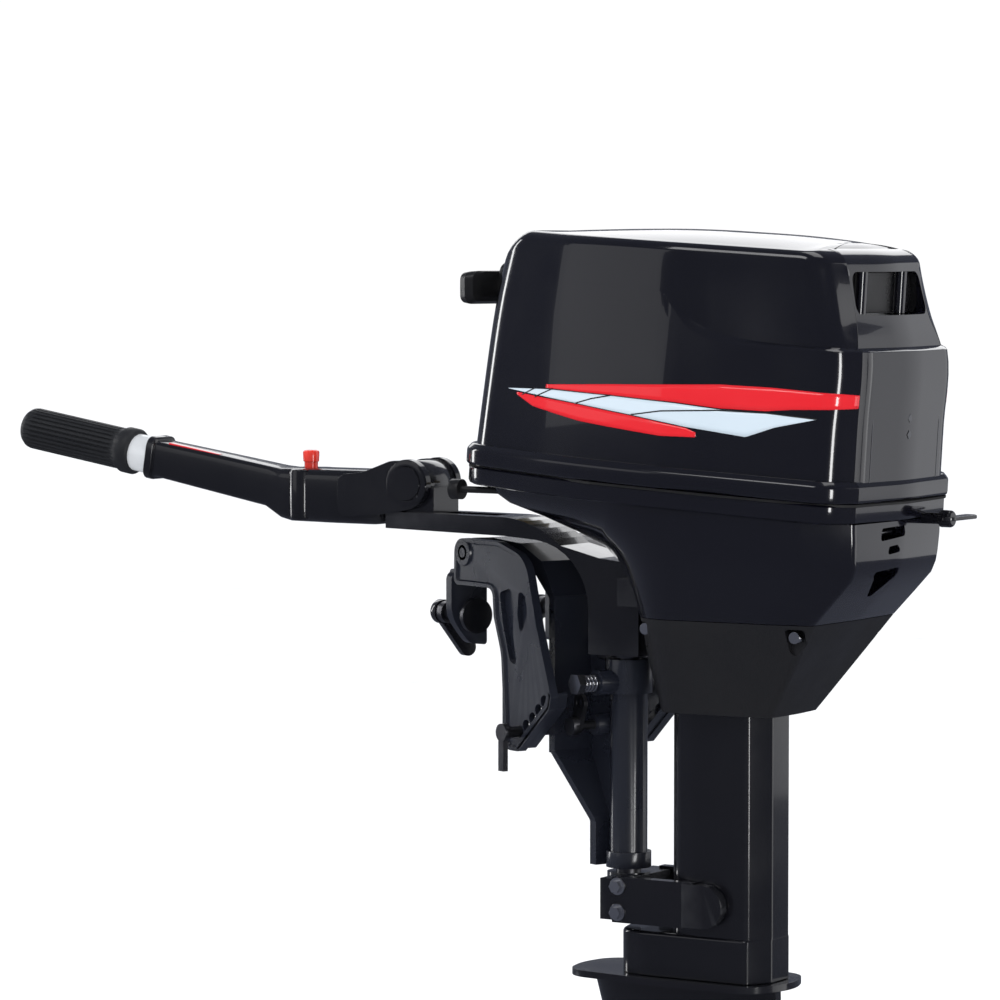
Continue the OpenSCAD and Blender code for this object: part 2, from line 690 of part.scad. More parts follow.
// Bevel gear on +Z, with its pitch cone's apex at the origin and its teeth towards it
module bevel(teeth, pitch_r, apex_h, bore) {
    gap = 0.25;
    k = 0.6;             // inner end of the teeth, as a share of the cone's length
    cone = norm([pitch_r, apex_h]);
    inner = cone * 0.5;
    outer = cone * 1.15;
    difference() {
        rotate_extrude() polygon([[bore, apex_h * k + gap * 2], [pitch_r * k - gap, apex_h * k + gap * 2],
            [pitch_r - gap, apex_h + gap], [pitch_r - gap, apex_h + 4],
            [bore + 5, apex_h + 9], [bore, apex_h + 9]]);
        for (i = [0:teeth - 1]) rotate([0, 0, i * 360 / teeth])
            rotate([0, -atan2(apex_h, pitch_r), 0]) translate([0, 0, -1])
                linear_extrude(3.2) polygon([[inner, -inner * tooth_groove], [outer, -outer * tooth_groove],
                    [outer, outer * tooth_groove], [inner, inner * tooth_groove]]);
    }
}
module piston(z) {
    color([0.7, 0.7, 0.7]) steered() translate([0, 0, z]) difference() {
        rod_x(piston_r, 153, 187);
        rod_x(22, 152, 180);
    }
}
module piston_lower() {
    piston(92);
}
module piston_upper() {
    piston(172);
}
module pinion_gear() {
    color([0.55, 0.55, 0.57]) steered() translate([crank_x, 0, prop_z])
        bevel(pinion_teeth, pinion_pitch_r, gear_pitch_r, drive_r + seat_fit);
}
module forward_gear() {
    color([0.55, 0.55, 0.57]) steered() translate([crank_x, 0, prop_z]) rotate([0, -90, 0])
        bevel(gear_teeth, gear_pitch_r, pinion_pitch_r, 8 + fit);
}
module reverse_gear() {
    color([0.55, 0.55, 0.57]) steered() translate([crank_x, 0, prop_z]) rotate([0, 90, 0])
        bevel(gear_teeth, gear_pitch_r, pinion_pitch_r, 8 + fit);
}
module dog_clutch() {
    color([0.5, 0.5, 0.52]) steered() translate([crank_x, 0, prop_z]) difference() {
        rod_x(14, -3.6, 3.6);
        rod_x(8 + seat_fit, -10, 10);
    }
}
module propeller_shaft() {
    color([0.7, 0.7, 0.72]) steered() translate([0, 0, prop_z]) rod_x(8, 58, 262);
}
module propeller() {
    hub_x = 196;
    color([0.1, 0.1, 0.11]) steered() translate([0, 0, prop_z]) {
        difference() {
            union() {
                translate([hub_x, 0, 0]) rotate([0, 90, 0]) cylinder(r1 = 33, r2 = 27, h = 58);
                for (a = [0, 120, 240]) rotate([a, 0, 0]) blade(hub_x + 29);
            }
            rod_x(8 + seat_fit, 190, 300);
        }
        translate([hub_x + 58, 0, 0]) difference() {
            rod_x(14, 0, 6);
            rod_x(8 + seat_fit, -1, 8);
        }
    }
}
module blade(x) {
    translate([x, 0, 0]) intersection() {
        rotate([0, 0, 32]) translate([-38, -2, 0]) cube([76, 4, prop_d / 2]);
        union() {
            translate([0, 0, 20]) rotate([0, 0, 32]) translate([-20, -10, 0]) cube([40, 20, 40]);
            translate([0, 0, prop_d / 2 - 46]) rotate([0, 0, 32]) rotate([90, 0, 0])
                cylinder(r = 40, h = 60, center = true);
        }
        rotate([0, 90, 0]) cylinder(r = prop_d / 2, h = 120, center = true);
    }
}

// ---- Controls ----
module shift_lever() {
    color([0.08, 0.08, 0.09]) steered() translate([shift_x, 0, shift_z]) {
        rod_y(6, 72, 132);
        translate([0, 122, 0]) rod_y(12, 0, 8);
        rotate([0, -20, 0]) {
            translate([-6, 123, 0]) cube([12, 6, 62]);
            translate([0, 0, 66]) rod_y(11, 118, 146);
        }
        translate([-5, 72, -12]) cube([10, 8, 12]);
    }
}
module shift_rod() {
    color([0.65, 0.65, 0.67]) steered() translate([shift_rod_x, 0, prop_z + 24])
        cylinder(r = 3, h = -prop_z - 64);
}
module choke_knob() {
    color([0.06, 0.06, 0.06]) steered() translate([0, choke_y, choke_z]) {
        rod_x(3, -142, -60);
        rod_x(9, -152, -142);
    }
}
module starter_reel() {
    color([0.3, 0.3, 0.32]) steered() translate([crank_x, 0, recoil_z]) {
        difference() {
            union() {
                translate([0, 0, 3]) cylinder(r = reel_r + 8, h = 3);
                translate([0, 0, 3]) cylinder(r = reel_r - 3, h = 13);
                translate([0, 0, 14]) cylinder(r = reel_r - 1, h = 3);
            }
            translate([0, 0, -1]) cylinder(r = 12, h = 6);
        }
        translate([0, 0, 10]) cylinder(r = 6, h = 16);
    }
}
module starter_handle() {
    color([0.05, 0.05, 0.05]) rope_line() {
        rod_x(rope_r, -8, 250);
        translate([-24, -42, -27]) cube([20, 84, 31]);
        rod_x(9, -4.1, 2.5);
    }
}

// ---- Tiller ----
module tiller_arm() {
    color([0.07, 0.07, 0.08]) {
        difference() {
            union() {
                tiller_axis() translate([-142, -arm_w / 2, -arm_h / 2]) cube([148, arm_w, arm_h]);
                tiller_axis() rod_x(21.5, -146, -114);
                steered() slab_y([[-372, 55], [-372, 95], [-330, 96], [-262, 96], [-246, 88], [-246, 60],
                    [-262, 47], [-360, 47]], -24, 24);
                steered() both_sides() {
                    slab_y([[-262, 60], [-262, 94], [-236, 100], [-236, 70]], fork_y, fork_y + fork_t);
                    translate([knuckle_x, 0, knuckle_z]) rod_y(knuckle_r, fork_y, fork_y + fork_t);
                    slab_y([[-250, 70], [-250, 100], [knuckle_x, knuckle_z + 18],
                            [knuckle_x, knuckle_z - 18]], fork_y, fork_y + fork_t);
                    translate([-266, 20, 62]) cube([22, 9, 30]);
                }
                steered() translate([button_x, 0, 95]) cylinder(r = 12, h = 4);
            }
            steered() translate([knuckle_x, 0, knuckle_z]) rod_y(knuckle_r + 2, -fork_y, fork_y);
            steered() translate([knuckle_x, 0, knuckle_z]) rod_y(6 + seat_fit, -40, 40);
            tiller_axis() rod_x(9 + fit, -160, -60);
            steered() translate([button_x, 0, 79]) cylinder(r = 8, h = 25);
        }
    }
}
module tiller_bolt() {
    color([0.08, 0.08, 0.09]) steered() translate([knuckle_x, 0, knuckle_z]) {
        rod_y(6, -fork_y - fork_t - 1, fork_y + fork_t + 8);
        rod_y(15, -fork_y - fork_t - 2.5, -fork_y - fork_t);
        translate([0, fork_y + fork_t, 0]) rotate([-90, 0, 0]) cylinder(r = 10, h = 7, $fn = 6);
    }
}
module throttle_grip() {
    color([0.05, 0.05, 0.055]) tiller_axis() difference() {
        union() {
            rod_x(grip_d / 2, grip_end - grip_len, grip_end);
            rod_x(grip_d / 2 + 2.5, grip_end - 16, grip_end - 4);
        }
        rod_x(11 + seat_fit, grip_end - grip_len + 8, grip_end + 1);
    }
}
module throttle_shaft() {
    color([0.75, 0.75, 0.77]) tiller_axis() {
        rod_x(11, grip_end - grip_len + 8, grip_end);
        rod_x(17.5, grip_end, -146.4);
        rod_x(9, grip_end, -70);
    }
}
module stop_button() {
    color([0.85, 0.15, 0.08]) steered() translate([button_x, 0, 85]) {
        cylinder(r = 7.5, h = 24);
        translate([0, 0, 21]) cylinder(r = 9.5, h = 6);
    }
}

clamp_bracket_port();
clamp_bracket_starboard();
tilt_bolt();
bracket_tie();
tilt_pin();
clamp_screw_port();
clamp_screw_starboard();
clamp_handle_port();
clamp_handle_starboard();
swivel_bracket();
friction_bolt();
reverse_lock();
steering_bracket();
steering_shaft();
lower_mount();
mount_rubbers();
mount_bolts();
driveshaft_housing();
gearcase();
bearing_carrier();
anode();
bottom_cowl();
apron();
apron_screws();
cowl_seal();
top_cowl();
cowl_latch();
crankcase();
cylinder_head();
spark_plugs();
carburettor();
ignition_box();
recoil_case();
exhaust_tube();
water_tube();
pump_housing();
fuel_connector();
crankshaft();
flywheel();
drive_shaft();
pump_impeller();
pinion_gear();
piston_upper();
piston_lower();
forward_gear();
reverse_gear();
dog_clutch();
propeller_shaft();
propeller();
shift_lever();
shift_rod();
choke_knob();
starter_reel();
starter_handle();
tiller_arm();
tiller_bolt();
throttle_grip();
throttle_shaft();
stop_button();
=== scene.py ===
"""Looks of the outboard motor: smooth castings and covers, finishes, light and camera."""
import json
import math

import bmesh
import bpy
from mathutils import Matrix, Vector


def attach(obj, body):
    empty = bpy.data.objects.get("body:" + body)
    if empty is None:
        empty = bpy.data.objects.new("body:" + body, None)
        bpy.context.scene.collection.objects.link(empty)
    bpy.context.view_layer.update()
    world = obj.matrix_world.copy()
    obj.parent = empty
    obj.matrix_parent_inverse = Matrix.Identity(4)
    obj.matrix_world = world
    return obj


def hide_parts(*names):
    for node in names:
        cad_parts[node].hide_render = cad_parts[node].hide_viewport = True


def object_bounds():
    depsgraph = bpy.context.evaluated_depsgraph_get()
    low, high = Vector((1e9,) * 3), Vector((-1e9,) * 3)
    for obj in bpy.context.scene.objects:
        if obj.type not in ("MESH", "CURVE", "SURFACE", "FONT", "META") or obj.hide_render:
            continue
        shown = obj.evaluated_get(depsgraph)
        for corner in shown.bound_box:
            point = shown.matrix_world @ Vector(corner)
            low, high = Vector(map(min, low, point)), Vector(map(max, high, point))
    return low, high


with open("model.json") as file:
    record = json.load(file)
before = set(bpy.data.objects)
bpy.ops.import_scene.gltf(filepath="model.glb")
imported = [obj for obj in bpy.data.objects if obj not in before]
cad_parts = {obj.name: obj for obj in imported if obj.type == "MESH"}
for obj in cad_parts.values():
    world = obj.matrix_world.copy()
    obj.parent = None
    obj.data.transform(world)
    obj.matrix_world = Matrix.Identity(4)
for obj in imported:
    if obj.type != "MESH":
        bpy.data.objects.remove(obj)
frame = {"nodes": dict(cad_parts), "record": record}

CAD_LOW, CAD_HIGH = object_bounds()
MM = 0.001
JOINTS = {j["name"]: j for j in frame["record"]["behaviour"]["joints"]}

# The steered frame: x aft, y to starboard and z up from the steering axis, in millimetres
STEER_ORIGIN = Vector(JOINTS["steer"]["pos_m"])
BEAM = Vector(JOINTS["shift_lever_turn"]["axis"]).normalized()
AFT = Vector((BEAM.y, -BEAM.x, 0.0))


def steered(x, y, z):
    """A point of the steered frame, in millimetres, as a point of the row frame, in metres."""
    return STEER_ORIGIN + (AFT * x + BEAM * y + Vector((0, 0, z))) * MM


# ---- Outlines ----
def arc_corner(before, corner, after, radius, steps):
    """The points of a rounded corner."""
    to_before = before - corner
    to_after = after - corner
    half = to_before.angle(to_after) / 2
    reach = min(radius / math.tan(half), to_before.length * 0.49, to_after.length * 0.49)
    true_radius = reach * math.tan(half)
    inward = (to_before.normalized() + to_after.normalized()).normalized()
    centre = corner + inward * (true_radius / math.sin(half))
    first = corner + to_before.normalized() * reach - centre
    last = corner + to_after.normalized() * reach - centre
    sweep = math.atan2(first.x * last.y - first.y * last.x, first.dot(last))
    return [centre + Matrix.Rotation(sweep * k / steps, 2) @ first for k in range(steps + 1)]


def rounded(corners, steps=5):
    """A closed outline through corners (a, b, radius)."""
    points = [Vector(c[:2]) for c in corners]
    outline = []
    for i, corner in enumerate(corners):
        after = points[(i + 1) % len(points)]
        outline += arc_corner(points[i - 1], points[i], after, corner[2], steps)
    return outline


def both_sides(half):
    """Corners of a symmetrical plan, from the half with y above or at 0."""
    return half + [(x, -y, r) for x, y, r in reversed(half) if y > 0]


def smoothstep(low, high, value):
    """0 at low, 1 at high and smooth between; low may be above high."""
    t = min(max((value - low) / (high - low), 0.0), 1.0)
    return t * t * (3 - 2 * t)


def line_at(knots, value):
    """A value on the broken line through knots (position, value)."""
    if value <= knots[0][0]:
        return knots[0][1]
    for (x0, y0), (x1, y1) in zip(knots, knots[1:]):
        if value <= x1:
            return y0 + (y1 - y0) * (value - x0) / (x1 - x0)
    return knots[-1][1]


def curve_at(knots, value):
    """A value on the smooth curve through knots (position, value), flat beyond its ends."""
    k = max([i for i, knot in enumerate(knots) if knot[0] <= value], default=-1)
    if k < 0 or k >= len(knots) - 1:
        return knots[min(max(k, 0), len(knots) - 1)][1]
    slopes = [(b[1] - a[1]) / (b[0] - a[0]) for a, b in zip(knots, knots[1:])]
    span = knots[k + 1][0] - knots[k][0]
    t = (value - knots[k][0]) / span
    start = (slopes[k - 1] + slopes[k]) / 2 if k > 0 else slopes[k]
    end = (slopes[k] + slopes[k + 1]) / 2 if k + 1 < len(slopes) else slopes[k]
    if k > 0 and slopes[k - 1] * slopes[k] <= 0:
        start = 0.0
    if k + 1 < len(slopes) and slopes[k] * slopes[k + 1] <= 0:
        end = 0.0
    return (knots[k][1] * (2 * t ** 3 - 3 * t * t + 1) + knots[k + 1][1] * (3 * t * t - 2 * t ** 3)
            + start * span * (t ** 3 - 2 * t * t + t) + end * span * (t ** 3 - t * t))


# ---- Meshes ----
SHARP_ANGLE = 32    # degrees from which an edge is drawn sharp
POINTED = 0.01      # a turned end under this radius, in millimetres, needs no cap


def new_object(name, bm, sharp_angle=SHARP_ANGLE):
    """An object in the scene from a bmesh, cleaned and shaded smooth up to the sharp angle."""
    bmesh.ops.remove_doubles(bm, verts=bm.verts, dist=1e-6)
    bmesh.ops.dissolve_degenerate(bm, edges=bm.edges, dist=1e-7)
    bmesh.ops.recalc_face_normals(bm, faces=bm.faces)
    mesh = bpy.data.meshes.new(name)
    bm.to_mesh(mesh)
    bm.free()
    mesh.shade_smooth()
    mesh.set_sharp_from_angle(angle=math.radians(sharp_angle))
    obj = bpy.data.objects.new(name, mesh)
    bpy.context.scene.collection.objects.link(obj)
    return obj


def add_rings(bm, rings, caps=(True, True), closed=True):
    """Faces between rings of points, with flat caps where asked."""
    rows = [[bm.verts.new(p) for p in ring] for ring in rings]
    count = len(rows[0])
    for low, high in zip(rows, rows[1:]):
        for i in range(count if closed else count - 1):
            j = (i + 1) % count
            bm.faces.new((low[i], low[j], high[j], high[i]))
    if caps[0]:
        bm.faces.new(reversed(rows[0]))
    if caps[1]:
        bm.faces.new(rows[-1])
    return rows


def loft(name, rings, caps=(True, True), sharp_angle=SHARP_ANGLE):
    """An object through closed rings of points."""
    bm = bmesh.new()
    add_rings(bm, rings, caps)
    return new_object(name, bm, sharp_angle)


def slab(name, outline, low, high, place):
    """A flat plate: an outline in x and z, between y = low and y = high."""
    return loft(name, [[place(p.x, y, p.y) for p in outline] for y in (low, high)])


def plate(name, outline, low, high, place):
    """A flat plate: an outline in x and y, between z = low and z = high."""
    return loft(name, [[place(p.x, p.y, z) for p in outline] for z in (low, high)])


def turned(name, profile, start, axis, steps=72):
    """A turned piece: (distance along axis, radius) in millimetres, from start in metres."""
    axis = Vector(axis).normalized()
    side = axis.orthogonal().normalized()
    up = axis.cross(side)
    rings = []
    for along, radius in profile:
        centre = start + axis * along * MM
        rings.append([centre + (side * math.cos(a) + up * math.sin(a)) * radius * MM
                      for a in (2 * math.pi * i / steps for i in range(steps))])
    return loft(name, rings, (profile[0][1] > POINTED, profile[-1][1] > POINTED))


def joined(name, parts):
    """One object from several."""
    bm = bmesh.new()
    for part in parts:
        bm.from_mesh(part.data)
        bpy.data.objects.remove(part)
    return new_object(name, bm)


def soften(obj, width, segments=3, angle=34):
    """Rounds an object's hard edges, which gives castings the highlights that real ones show."""
    bevel = obj.modifiers.new("edges", "BEVEL")
    bevel.width = width * MM
    bevel.segments = segments
    bevel.limit_method = "ANGLE"
    bevel.angle_limit = math.radians(angle)
    bevel.harden_normals = True
    bevel.use_clamp_overlap = True


# ---- Materials ----
DRIFT_SCALE = 14            # patches of drifting colour and polish, per metre
ROUGHNESS_DRIFT = 0.3       # share by which the roughness drifts
CHIP_SCALE = 90             # chips along worn edges, per metre
GRAIN_DEPTH = 0.0006        # metres


def material(name, colour, roughness, coat=0.0, coat_roughness=0.08, metal=0.0, specular=0.5,
             bump=0.0, bump_scale=400.0, colour_drift=0.25, wear=None, wear_amount=0.0):
    """A finish: drifting colour and roughness, a fine bump, and worn edges where wear is a colour."""
    m = bpy.data.materials.new(name)
    m.use_nodes = True
    nodes, links = m.node_tree.nodes, m.node_tree.links
    shader = nodes["Principled BSDF"]
    shader.inputs["Metallic"].default_value = metal
    shader.inputs["Specular IOR Level"].default_value = specular
    shader.inputs["Coat Weight"].default_value = coat
    shader.inputs["Coat Roughness"].default_value = coat_roughness
    place = nodes.new("ShaderNodeTexCoord")
    drift = nodes.new("ShaderNodeTexNoise")
    drift.inputs["Scale"].default_value = DRIFT_SCALE
    drift.inputs["Detail"].default_value = 5
    links.new(place.outputs["Object"], drift.inputs["Vector"])
    shade = nodes.new("ShaderNodeMix")
    shade.data_type = "RGBA"
    shade.inputs["A"].default_value = (*[c * (1 - colour_drift) for c in colour], 1)
    shade.inputs["B"].default_value = (*[min(c * (1 + colour_drift), 1) for c in colour], 1)
    links.new(drift.outputs["Fac"], shade.inputs["Factor"])
    colour_out = shade.outputs["Result"]
    polish = nodes.new("ShaderNodeMapRange")
    polish.inputs["From Min"].default_value = 0.3
    polish.inputs["From Max"].default_value = 0.7
    polish.inputs["To Min"].default_value = roughness * (1 - ROUGHNESS_DRIFT)
    polish.inputs["To Max"].default_value = roughness * (1 + ROUGHNESS_DRIFT)
    links.new(drift.outputs["Fac"], polish.inputs["Value"])
    links.new(polish.outputs["Result"], shader.inputs["Roughness"])
    if wear:
        edge = nodes.new("ShaderNodeNewGeometry")
        chips = nodes.new("ShaderNodeTexNoise")
        chips.inputs["Scale"].default_value = CHIP_SCALE
        chips.inputs["Detail"].default_value = 8
        links.new(place.outputs["Object"], chips.inputs["Vector"])
        exposed = nodes.new("ShaderNodeMapRange")
        exposed.inputs["From Min"].default_value = 0.53
        exposed.inputs["From Max"].default_value = 0.62
        exposed.inputs["To Max"].default_value = wear_amount
        links.new(edge.outputs["Pointiness"], exposed.inputs["Value"])
        broken = nodes.new("ShaderNodeMath")
        broken.operation = "MULTIPLY"
        links.new(exposed.outputs["Result"], broken.inputs[0])
        links.new(chips.outputs["Fac"], broken.inputs[1])
        worn = nodes.new("ShaderNodeMix")
        worn.data_type = "RGBA"
        worn.inputs["B"].default_value = (*wear, 1)
        links.new(broken.outputs["Value"], worn.inputs["Factor"])
        links.new(colour_out, worn.inputs["A"])
        colour_out = worn.outputs["Result"]
    links.new(colour_out, shader.inputs["Base Color"])
    if bump:
        grain = nodes.new("ShaderNodeTexNoise")
        grain.inputs["Scale"].default_value = bump_scale
        grain.inputs["Detail"].default_value = 3
        links.new(place.outputs["Object"], grain.inputs["Vector"])
        relief = nodes.new("ShaderNodeBump")
        relief.inputs["Strength"].default_value = bump
        relief.inputs["Distance"].default_value = GRAIN_DEPTH
        links.new(grain.outputs["Fac"], relief.inputs["Height"])
        links.new(relief.outputs["Normal"], shader.inputs["Normal"])
    return m


GREY_ALLOY = (0.32, 0.33, 0.35)
FINISH = {
    "paint_black": material("paint_black", (0.004, 0.004, 0.006), 0.2, coat=0.8, coat_roughness=0.05,
                            bump=0.05, bump_scale=160, wear=GREY_ALLOY, wear_amount=0.25),
    "clamp_paint": material("clamp_paint", (0.012, 0.014, 0.022), 0.3, coat=0.5, coat_roughness=0.12,
                            bump=0.1, bump_scale=220, colour_drift=0.15, wear=GREY_ALLOY, wear_amount=0.06),
    "cowl_gloss": material("cowl_gloss", (0.003, 0.003, 0.006), 0.16, coat=1.0, coat_roughness=0.025,
                           bump=0.02, bump_scale=90, colour_drift=0.12),
    "apron_plastic": material("apron_plastic", (0.011, 0.011, 0.013), 0.42, bump=0.25, bump_scale=900,
                              colour_drift=0.15),
    "grip_rubber": material("grip_rubber", (0.012, 0.013, 0.016), 0.5, bump=0.3, bump_scale=700),
    "seal_rubber": material("seal_rubber", (0.01, 0.01, 0.011), 0.6, bump=0.3, bump_scale=500),
    "zinc_steel": material("zinc_steel", (0.62, 0.62, 0.64), 0.24, metal=1.0, bump=0.12, bump_scale=300,
                           colour_drift=0.12),
    # dark_steel also draws the plated screws and pin in the finish swaps below dark, as painted shade where
    # they sit in shadow
    "dark_steel": material("dark_steel", (0.16, 0.16, 0.17), 0.36, metal=1.0, bump=0.2, bump_scale=260),
    "cast_alloy": material("cast_alloy", (0.42, 0.43, 0.45), 0.42, metal=1.0, bump=0.5, bump_scale=420),
    "black_plastic": material("black_plastic", (0.009, 0.009, 0.01), 0.34, bump=0.25, bump_scale=800),
    "red_plastic": material("red_plastic", (0.78, 0.035, 0.02), 0.25, coat=0.4, bump=0.04, colour_drift=0.08),
    "decal_red": material("decal_red", (0.75, 0.012, 0.02), 0.18, coat=1.0, coat_roughness=0.03,
                          colour_drift=0.04),
    "decal_pale": material("decal_pale", (0.62, 0.72, 0.8), 0.2, coat=1.0, coat_roughness=0.03,
                           colour_drift=0.03),
    "decal_grey": material("decal_grey", (0.05, 0.052, 0.06), 0.3, coat=0.5, colour_drift=0.1),
    "sleeve": material("sleeve", (0.74, 0.76, 0.78), 0.32, coat=0.6, metal=0.25, bump=0.08,
                       colour_drift=0.08),
    "zinc": material("zinc", (0.4, 0.41, 0.41), 0.6, metal=0.9, bump=0.5, bump_scale=220),
    "brass": material("brass", (0.62, 0.45, 0.16), 0.3, metal=1.0, bump=0.12, bump_scale=260),
}


def dress(obj, body, slot, replaces=(), width=0.0):
    """Gives a new piece its finish and body, and rounds its hard edges."""
    obj.data.materials.clear()
    obj.data.materials.append(FINISH[slot])
    if width:
        soften(obj, width)
    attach(obj, body)
    if replaces:
        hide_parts(*replaces)


# ---- Top cowl ----
COWL_SLOPE = math.radians(3.5)
PARTING_Z = 100.5
COWL_REAR = 263
PANEL_HALF = 75
# Corners of the skin at some heights over the parting plane: front x and half width, side half width,
# rear corner x and half width, rear face x and half width
SKIN_KNOTS = (
    (0, (-126, 74, 119, 250, 107.5, 263, 80)),
    (60, (-121.5, 72.5, 117.5, 249.5, 106.5, 263, 80)),
    (128, (-116, 70, 114, 249, 103, 262.5, 78)),
    (156, (-113, 68, 111.5, 240, 100, 252.5, 68)),
    (200, (-105, 66, 107, 224, 95, 237, 67)),
    (216, (-102, 65, 106, 219, 94, 232, 67)))
STEP_LINE = ((40, 168), (82, 166), (95, 155), (108, 145), (121, 139), (136, 135), (156, 131.7), (176, 130.2),
             (221, 129.6), (300, 129.6))
CROWN_LINE = ((-62, 208.4), (-43, 210.4), (7, 214.3), (47, 216.6), (97, 217.6), (155, 217.4), (190, 215.7),
              (205, 214.2))
SECTION_GAP = 4         # height between the tabled sections of the skin
SECTIONS = 56
COLUMN_GAP = 5          # longest step along the outline
WALL_STEPS = 12         # rows of points over each stretch of wall, and over the crown
SHOULDER_STEPS = 9
SHOULDER_SWEEP = math.radians(86)


def cowl_place(x, y, z):
    """A point over the cowl's sloping parting plane, in millimetres, in the row frame."""
    return steered(x * math.cos(COWL_SLOPE) + z * math.sin(COWL_SLOPE), y,
                   PARTING_Z - x * math.sin(COWL_SLOPE) + z * math.cos(COWL_SLOPE))


def knots_at(knots, value):
    """A row of sizes between the knots (position, sizes)."""
    return [curve_at([(k, sizes[i]) for k, sizes in knots], value) for i in range(len(knots[0][1]))]


def skin_outline(z, grow=0.0):
    """The skin's plan at a height over the parting plane, grown outwards."""
    front, front_half, side, corner, corner_half, face, face_half = knots_at(SKIN_KNOTS, z)
    return rounded(both_sides([
        (front - 4 - grow, 0, 150), (front + 1 - grow, front_half + grow, 42 + grow), (30, side + grow, 420),
        (corner + grow * 0.7, corner_half + grow, 32 + grow), (face + grow, face_half + grow * 0.4, 1.5),
        (face + 5 + grow, 0, 300)]), 14)


def subdivided(outline, counts):
    """The outline with each of its steps cut into a count of equal ones."""
    loop = outline + [outline[0]]
    return [a.lerp(b, k / n) for a, b, n in zip(loop, loop[1:], counts) for k in range(n)]


def step_counts(outline):
    """How many pieces each step needs to keep to the column gap."""
    steps = zip(outline, outline[1:] + outline[:1])
    return [max(1, math.ceil((b - a).length / COLUMN_GAP)) for a, b in steps]


COUNTS = step_counts(skin_outline(0))
SKIN = [subdivided(skin_outline(k * SECTION_GAP), COUNTS) for k in range(SECTIONS)]


def outward(outline, i):
    """The outline's normal at point i."""
    tangent = outline[(i + 1) % len(outline)] - outline[i - 1]
    normal = Vector((tangent.y, -tangent.x)).normalized()
    return -normal if normal.dot(outline[i] - Vector((70, 0))) < 0 else normal


def skin_at(i, z):
    """Column i of the skin at a height, before the step and the shoulder."""
    k = min(int(z / SECTION_GAP), len(SKIN) - 2)
    return SKIN[k][i].lerp(SKIN[k + 1][i], z / SECTION_GAP - k)


def column_profile(i):
    """One column of the skin, from the parting plane over the step and the shoulder to the crown's spine."""
    base = SKIN[0][i]
    normal = outward(SKIN[0], i)
    ahead, behind, beside = max(-normal.x, 0.0) ** 2, max(normal.x, 0.0) ** 2, normal.y ** 2
    step_z = curve_at(STEP_LINE, base.x)
    depth = 6.5 * smoothstep(80, 128, base.x) - 2 * smoothstep(140, 220, base.x)
    ledge = 1 + 6 * smoothstep(84, 112, base.x) - 4 * smoothstep(130, 200, base.x)
    proud = 3.2 * smoothstep(PANEL_HALF + 2, PANEL_HALF - 1, abs(base.y)) * smoothstep(200, 230, base.x)
    rise_from = 172 * ahead + 199 * beside + 198 * behind
    rise_to = 207 * ahead + 208 * beside + 210 * behind
    over = 45 * ahead + 8 * beside + 17 * behind
    share = smoothstep(0, 1, depth)

    def at(z, inset):
        q = skin_at(i, z) - normal * inset
        return cowl_place(q.x, q.y, z)

    points = [at((step_z - ledge) * k / WALL_STEPS, -proud) for k in range(WALL_STEPS + 1)]
    points.append(at(step_z - ledge + 0.7, 0.5 * share - proud * 0.9))
    points.append(at(step_z - ledge * 0.35, depth * 0.6 - proud * 0.4))
    points.append(at(step_z, depth))
    for k in range(1, WALL_STEPS + 1):
        t = k / WALL_STEPS
        points.append(at(step_z + (rise_from - step_z) * t, depth * (1 - 0.85 * t * t)))
    inset = depth * 0.15
    for k in range(1, SHOULDER_STEPS + 1):
        a = SHOULDER_SWEEP * k / SHOULDER_STEPS
        points.append(at(rise_from + (rise_to - rise_from) * math.sin(a), inset + over * (1 - math.cos(a))))
    edge = skin_at(i, rise_to) - normal * (inset + over * (1 - math.cos(SHOULDER_SWEEP)))
    spine = Vector((min(max(edge.x, CROWN_LINE[0][0]), CROWN_LINE[-1][0]), 0))
    spine_z = curve_at(CROWN_LINE, spine.x)
    for k in range(1, WALL_STEPS + 1):
        t = 1 - k / WALL_STEPS
        q = spine.lerp(edge, t)
        points.append(cowl_place(q.x, q.y, rise_to + (spine_z - rise_to) * (1 - t ** 2.2)))
    return points


def boolean_cut(obj, cutter):
    """Cuts one object out of another for good."""
    cut = obj.modifiers.new("cut", "BOOLEAN")
    cut.operation = "DIFFERENCE"
    cut.solver = "EXACT"
    cut.object = cutter
    graph = bpy.context.evaluated_depsgraph_get()
    mesh = bpy.data.meshes.new_from_object(obj.evaluated_get(graph))
    obj.modifiers.clear()
    obj.data = mesh
    bpy.data.objects.remove(cutter)
    mesh.shade_smooth()
    mesh.set_sharp_from_angle(angle=math.radians(SHARP_ANGLE))


HAND_HOLE = ((-65, 156, 8), (65, 156, 8), (61, 192, 9), (-61, 192, 9))
HOLE_BACK = 232     # cowl x of the hand hole's front wall


def top_cowl():
    """The cowl's shell, with the hand hole of the carrying handle, its liner and its two posts."""
    columns = [column_profile(i) for i in range(len(SKIN[0]))]
    skin = loft("top_cowl_shell", [list(ring) for ring in zip(*columns)], (True, False), 28)
    hole = rounded(HAND_HOLE, 6)
    cutter = loft("handle_hole", [[cowl_place(x, p.x, p.y) for p in hole] for x in (HOLE_BACK, 310)])
    boolean_cut(skin, cutter)
    dress(skin, "motor", "cowl_gloss", ["top_cowl"])
    inner = rounded([(y * 0.985, z + (1 if z < 170 else -1), r) for y, z, r in HAND_HOLE], 6)
    liner = loft("handle_liner", [[cowl_place(x, p.x, p.y) for p in inner]
                                  for x in (238.5, 237, HOLE_BACK + 0.4)], (False, True))
    dress(liner, "motor", "black_plastic")
    posts = [turned("post", [(0, 6), (35.4, 6)], cowl_place(HOLE_BACK + 3, y, 156.4),
                    cowl_place(0, 0, 1) - cowl_place(0, 0, 0), 40) for y in (-36, 36)]
    dress(joined("handle_posts", posts), "motor", "cowl_gloss")


